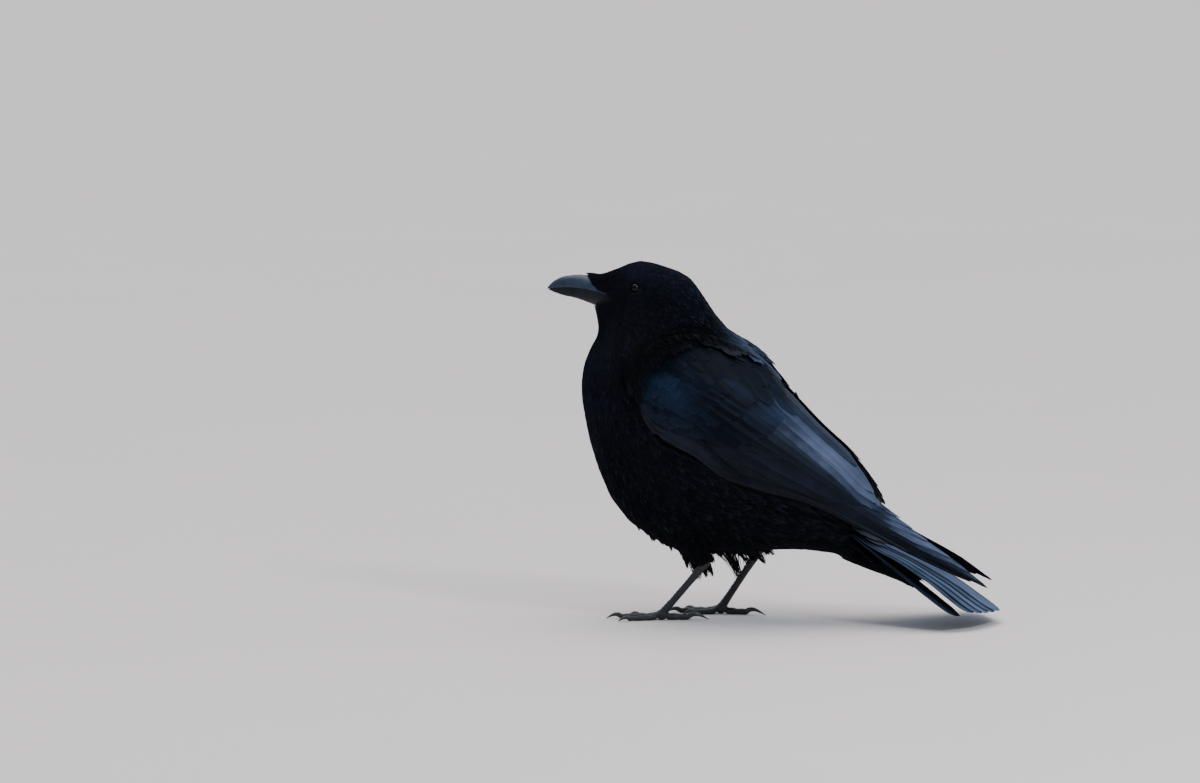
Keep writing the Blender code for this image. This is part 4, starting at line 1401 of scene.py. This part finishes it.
def legs(scales, horn):
    """Both bare legs as fused skins, with their claws apart."""
    for side in SIDES:
        mesh, _ = mesh_of(joined(list(foot_parts(side))))
        points, polygons = fused(mesh, 0.42, 2)
        points[:, 2] = np.maximum(points[:, 2], 0.0)
        names = [f"tarsus_{side}", f"foot_{side}", *(f"toe_{side}_{name}" for name in TOES)]
        make("leg_" + side, [shape(points, [polygons])], scales, "leg_scales", names)
        names = [f"claw_{side}_{name}" for name in TOES]
        make("claws_" + side, [claw(side, name) for name in TOES], horn, "claws", names)


# ---------------------------------------------------------------- materials


class Nodes:
    """A node tree whose nodes are added one call at a time."""

    def __init__(self, tree):
        self.tree = tree

    def add(self, kind, inputs=(), **settings):
        """The outputs of a new node, its inputs linked to sockets or set to constants."""
        node = self.tree.nodes.new(kind)
        for key, value in settings.items():
            setattr(node, key, value)
        for key, value in dict(inputs).items():
            if isinstance(value, bpy.types.NodeSocket):
                self.tree.links.new(value, node.inputs[key])
            else:
                node.inputs[key].default_value = value
        return node.outputs

    def ramp(self, value, stops):
        """A colour from (place, colour) stops."""
        node = self.tree.nodes.new("ShaderNodeValToRGB")
        elements = node.color_ramp.elements
        while len(elements) < len(stops):
            elements.new(0.5)
        for element, (place, colour) in zip(elements, stops):
            element.position = place
            element.color = (*colour, 1.0)
        self.tree.links.new(value, node.inputs["Fac"])
        return node.outputs["Color"]

    def noise(self, scale, detail, vector):
        inputs = {"Scale": scale, "Detail": detail, "Vector": vector}
        return self.add("ShaderNodeTexNoise", inputs)["Fac"]

    def math(self, operation, a, b=0.0):
        return self.add("ShaderNodeMath", {0: a, 1: b}, operation=operation)[0]

    def plus(self, value, term, factor, middle=0.0):
        """The value with the term's distance from middle added, times the factor."""
        away = self.math("SUBTRACT", term, middle) if middle else term
        return self.math("ADD", value, self.math("MULTIPLY", away, factor))


class Look(Nodes):
    """A material, with the object's own coordinates as place."""

    def __init__(self, name, roughness, metallic=0.0, shine=0.5):
        self.material = bpy.data.materials.new(name)
        self.material.use_nodes = True
        super().__init__(self.material.node_tree)
        self.shader = self.tree.nodes["Principled BSDF"]
        self.shader.inputs["Roughness"].default_value = roughness
        self.shader.inputs["Metallic"].default_value = metallic
        self.shader.inputs["Specular IOR Level"].default_value = shine
        self.place = self.add("ShaderNodeTexCoord")["Object"]

    def join(self, output, key):
        self.tree.links.new(output, self.shader.inputs[key])

    def colour(self, value, *stops):
        self.join(self.ramp(value, stops), "Base Color")

    def bump(self, height, strength, distance):
        inputs = {"Height": height, "Strength": strength, "Distance": distance * MM}
        self.join(self.add("ShaderNodeBump", inputs)["Normal"], "Normal")


def feather_look(name, colours, roughness, metallic, web_sheen_slope, shadow_rim_width, shine):
    """Feather colour from tone to tone, streaked along its barbs.

    web_sheen_slope makes the lower, outer web of each feather paler than the upper one: painted sheen
    on the exposed web and painted shade where the next feather laps over it. Up to a dark rim of
    shadow_rim_width along each edge, a painted shadow line between overlapping feathers.
    """
    dark, middle, pale = colours
    look = Look(name, roughness, metallic, shine)
    vane = look.add("ShaderNodeUVMap", uv_map="vane")["UV"]
    split = look.add("ShaderNodeSeparateXYZ", {"Vector": vane})
    away = look.math("ABSOLUTE", look.math("SUBTRACT", split["X"], 0.5))
    barb_way = look.math("MULTIPLY", split["Y"], 70.0)
    barb_way = look.math("SUBTRACT", barb_way, look.math("MULTIPLY", away, 14.0))
    barb = look.math("SINE", look.math("MULTIPLY", barb_way, 6.0))
    patchy = look.noise(55.0, 3.0, look.place)
    fine = look.noise(900.0, 2.0, look.place)
    value = look.add("ShaderNodeAttribute", attribute_name="shade")["Fac"]
    value = look.plus(value, patchy, 0.5, 0.5)
    value = look.plus(value, fine, 0.12, 0.5)
    value = look.plus(value, barb, 0.012)
    # Painted sheen on the lower, outer web and painted shade on the upper web, where the next feather
    # laps over it.
    edge = look.math("MULTIPLY", look.math("SUBTRACT", 0.5, split["X"]), web_sheen_slope)
    value = look.math("ADD", value, edge)
    # Painted shadow: a dark rim along both edges of each vane, where overlapping feathers meet.
    painted_shadow_rim = look.math("MAXIMUM", look.math("SUBTRACT", away, 0.5 - shadow_rim_width), 0.0)
    value = look.math("SUBTRACT", value, look.math("MULTIPLY", painted_shadow_rim, 4.0 * web_sheen_slope))
    look.colour(value, (0.0, dark), (0.5, middle), (1.0, pale))
    rough = look.math("ADD", look.math("MULTIPLY", fine, 0.16), roughness - 0.08)
    look.join(rough, "Roughness")
    height = look.math("ADD", look.math("MULTIPLY", barb, 0.12), fine)
    look.bump(height, 0.35, 0.1)
    return look.material


def horn_look(name, dark, pale, shine):
    """The bill's horn, with its grain drawn out along the bill over softer blotches."""
    look = Look(name, 0.4, shine=shine)
    inputs = {"Vector": look.place, "Scale": (0.25, 1, 1)}
    grain = look.noise(700.0, 4.0, look.add("ShaderNodeMapping", inputs)["Vector"])
    blotch = look.noise(120.0, 3.0, look.place)
    value = look.plus(look.math("MULTIPLY", grain, 0.4), blotch, 0.6)
    look.colour(value, (0.3, dark), (0.75, pale))
    look.join(look.math("ADD", look.math("MULTIPLY", grain, 0.25), 0.3), "Roughness")
    look.bump(grain, 0.35, 0.15)
    return look.material


def scale_look():
    """The legs' small dark scales, paler in their middles."""
    look = Look("leg_scales", 0.5)
    inputs = {"Vector": look.place, "Scale": 620.0}
    cells = look.add("ShaderNodeTexVoronoi", inputs, feature="DISTANCE_TO_EDGE")["Distance"]
    middle = look.math("MINIMUM", look.math("MULTIPLY", cells, 6.0), 1.0)
    blotch = look.noise(260.0, 3.0, look.place)
    value = look.plus(look.math("MULTIPLY", middle, 0.5), blotch, 0.5)
    look.colour(value, (0.2, (0.004, 0.004, 0.0055)), (0.9, (0.019, 0.02, 0.024)))
    look.join(look.math("ADD", look.math("MULTIPLY", blotch, 0.3), 0.35), "Roughness")
    look.bump(value, 0.6, 0.25)
    return look.material


def nail_look():
    """The claws' horn, darker than the bill's."""
    look = Look("claws", 0.32)
    inputs = {"Vector": look.place, "Scale": (0.4, 1, 1)}
    grain = look.noise(500.0, 3.0, look.add("ShaderNodeMapping", inputs)["Vector"])
    look.colour(grain, (0.3, (0.012, 0.012, 0.013)), (0.8, (0.04, 0.038, 0.038)))
    look.bump(grain, 0.3, 0.1)
    return look.material


def skin_look():
    """Dark skin in fine folds, seen only on the eyelids."""
    look = Look("bare_skin", 0.6, shine=0.15)
    folds = look.noise(800.0, 4.0, look.place)
    look.colour(folds, (0.3, (0.002, 0.0025, 0.004)), (0.8, (0.006, 0.0075, 0.012)))
    look.bump(folds, 0.5, 0.2)
    return look.material


def eye_look():
    """A wet black pupil and a very dark brown iris, by the distance from the eye's axis."""
    look = Look("eyes", 0.05, shine=0.2)
    tone = look.add("ShaderNodeAttribute", attribute_name="shade")["Fac"]
    value = look.plus(tone, look.noise(1500.0, 2.0, look.place), 0.02, 0.5)
    look.colour(
        value,
        (0.0, (0.001, 0.001, 0.001)),
        (0.155, (0.001, 0.001, 0.001)),
        (0.17, (0.004, 0.0024, 0.0018)),
        (0.27, (0.003, 0.002, 0.0016)),
        (0.3, (0.002, 0.002, 0.002)),
    )
    return look.material


# ---------------------------------------------------------------- floor, light and camera


def floor():
    """A plain pale floor, far wider than the view."""
    look = Look("floor", 0.9)
    speckle = look.noise(3.0, 2.0, look.place)
    look.colour(speckle, (0.0, (0.685, 0.61, 0.56)), (1.0, (0.72, 0.645, 0.595)))
    mesh = bpy.data.meshes.new("floor")
    reach = 60.0
    corners = [(-reach, -reach, 0), (reach, -reach, 0), (reach, reach, 0), (-reach, reach, 0)]
    mesh.from_pydata(corners, [], [(0, 1, 2, 3)])
    mesh.materials.append(look.material)
    placed("floor", mesh)


def placed(name, data, place=(0, 0, 0), heading=None):
    """A new object in the scene at a place, and turned to look along a heading."""
    item = bpy.data.objects.new(name, data)
    item.location = place
    if heading is not None:
        item.rotation_euler = heading.to_track_quat("-Z", "Y").to_euler()
    bpy.context.scene.collection.objects.link(item)
    return item


def sky():
    """Soft light from all round, brightest and bluest from high on the bird's right."""
    world = bpy.data.worlds.new("studio")
    world.use_nodes = True
    nodes = Nodes(world.node_tree)
    place = nodes.add("ShaderNodeTexCoord")["Generated"]
    inputs = {0: place, 1: (0.1, 0.8, 0.6)}
    facing = nodes.add("ShaderNodeVectorMath", inputs, operation="DOT_PRODUCT")["Value"]
    share = nodes.add("ShaderNodeMapRange", {"Value": facing, "From Min": -1.0})["Result"]
    colour = nodes.ramp(share, ((0.2, (0.15, 0.165, 0.18)), (0.8, (0.82, 0.98, 1.24))))
    background = nodes.tree.nodes["Background"]
    background.inputs["Strength"].default_value = 1.0
    nodes.tree.links.new(colour, background.inputs["Color"])
    bpy.context.scene.world = world


def lamps():
    """A broad sun from above, and a small lamp that gives the near eye its light."""
    sun = bpy.data.lights.new("sky_sun", "SUN")
    sun.color, sun.energy, sun.angle = (1.0, 0.91, 0.82), 2.1, math.radians(50)
    lamp = bpy.data.lights.new("eye_lamp", "AREA")
    lamp.color, lamp.energy = (0.9, 0.95, 1.0), 18.0
    lamp.shape, lamp.size = "DISK", 0.5
    for light, place, aim in (
        (sun, (-0.3, 0.5, 2.4), (0, 0, 0)),
        (lamp, (1.25, -1.15, 1.6), (-0.1, 0, 0.27)),
    ):
        placed(light.name, light, place, Vector(aim) - Vector(place))


def camera():
    """A long lens from the bird's left, a little from behind and above."""
    lens = bpy.data.cameras.new("camera")
    lens.sensor_width, lens.lens = 36.0, 321.4
    lens.clip_start, lens.clip_end = 0.5, 200.0
    target = Vector((-0.1458, 0.0, 0.1895))
    azimuth, elevation, distance = math.radians(8), math.radians(7), 9.0
    away = Vector((math.sin(azimuth), -math.cos(azimuth), 0)) * math.cos(elevation)
    away.z = math.sin(elevation)
    bpy.context.scene.camera = placed("camera", lens, target + away * distance, -away)


# ---------------------------------------------------------------- the whole bird

# The feathers' dark, middle and pale colours.
FEATHER_COLOURS = {
    "plumage": ((0.0016, 0.0021, 0.0033), (0.0048, 0.006, 0.011), (0.011, 0.0138, 0.029)),
    "mantle": ((0.002, 0.003, 0.0055), (0.013, 0.019, 0.033), (0.05, 0.072, 0.12)),
    "flight_feathers": ((0.0016, 0.0032, 0.0075), (0.012, 0.021, 0.043), (0.095, 0.122, 0.205)),
    "coverts": ((0.0012, 0.003, 0.0075), (0.01, 0.022, 0.05), (0.07, 0.11, 0.2)),
    "tail_feathers": ((0.0016, 0.003, 0.0065), (0.014, 0.025, 0.048), (0.068, 0.1, 0.175)),
}
# Their roughness, metallic share, slope of painted sheen and shade across each vane, width of its
# painted shadow rim, and shine.
FEATHER_SURFACES = {
    "plumage": (0.6, 0.0, 0.0, 0.08, 0.1),
    "mantle": (0.5, 0.12, 0.1, 0.08, 0.14),
    "flight_feathers": (0.48, 0.1, 0.42, 0.08, 0.13),
    "coverts": (0.5, 0.12, 0.22, 0.08, 0.09),
    "tail_feathers": (0.5, 0.05, 0.55, 0.17, 0.1),
}


def paired_pieces(side, eye):
    """One side's eye, wing and tail: each piece's name, shapes, look, slot and replaced nodes."""
    flight, covert = LOOKS["flight_feathers"], LOOKS["coverts"]
    yield "eyeball", [eyeball()], eye, "eyes", ["eye_" + side]
    for name, shapes_of, node in (
        ("primary_vanes", lambda: primaries(HIGHEST_POINT[side]), "primaries"),
        ("secondary_vanes", secondaries, "secondaries"),
        ("tertial_vanes", tertials, "tertials"),
        ("hand_coverts", primary_coverts, "primary_coverts"),
    ):
        yield name, shapes_of(), flight, "flight_feathers", [f"wing_{side}_{node}"]
    shapes = greater_coverts() + lesser_coverts()
    yield "arm_coverts", shapes, covert, "flight_feathers", [f"wing_{side}_coverts"]
    yield "scapular_vanes", scapulars(), covert, "plumage", ["scapulars_" + side]
    numbers = range(len(TAIL_LENGTHS))
    shapes = [rectrix(side, number) for number in numbers]
    nodes = [f"tail_feather_{side}_{number + 1}" for number in numbers]
    yield "tail_vanes", shapes, LOOKS["tail_feathers"], "flight_feathers", nodes
    yield "uppertail", tail_coverts(True), LOOKS["mantle"], "plumage", []
    yield "undertail", tail_coverts(False), LOOKS["plumage"], "plumage", []


floor()
sky()
lamps()
camera()

LOOKS = {
    name: feather_look(name, colours, *FEATHER_SURFACES[name])
    for name, colours in FEATHER_COLOURS.items()
}
coat_look, mantle_look = LOOKS["plumage"], LOOKS["mantle"]

owner = cad_owner()
wing_finder = WingFinder()
everything = [name for names in GROUPS.values() for name in names]
outer = Surface(*fused(grown_copies(everything, GROWTH), 1.5, 4))
filled = Surface(*fused(grown_copies(everything, GROWTH), 3.0, 110))

skin_surface = skin(skin_look())
coat(coat_look, mantle_look)
down(coat_look, mantle_look)
plumes(coat_look)
bristles(coat_look)

upper_horn = horn_look("upper_bill", (0.012, 0.02, 0.034), (0.036, 0.056, 0.096), 0.35)
# The lower mandible is painted darker than the upper: painted shade on the underside of the bill.
shaded_lower_horn = horn_look("lower_bill_painted_shade", (0.003, 0.0045, 0.007), (0.01, 0.015, 0.024), 0.15)
make("bill_upper_horn", [mandible(True)], upper_horn, "bill_horn", ["bill_upper"])
make("bill_lower_horn", [mandible(False)], shaded_lower_horn, "bill_horn", ["bill_lower"])
wet_black = eye_look()
for side in SIDES:
    for name, shapes, look, slot, nodes in paired_pieces(side, wet_black):
        make(f"{name}_{side}", [on_side(s, side) for s in shapes], look, slot, nodes)
legs(scale_look(), nail_look())
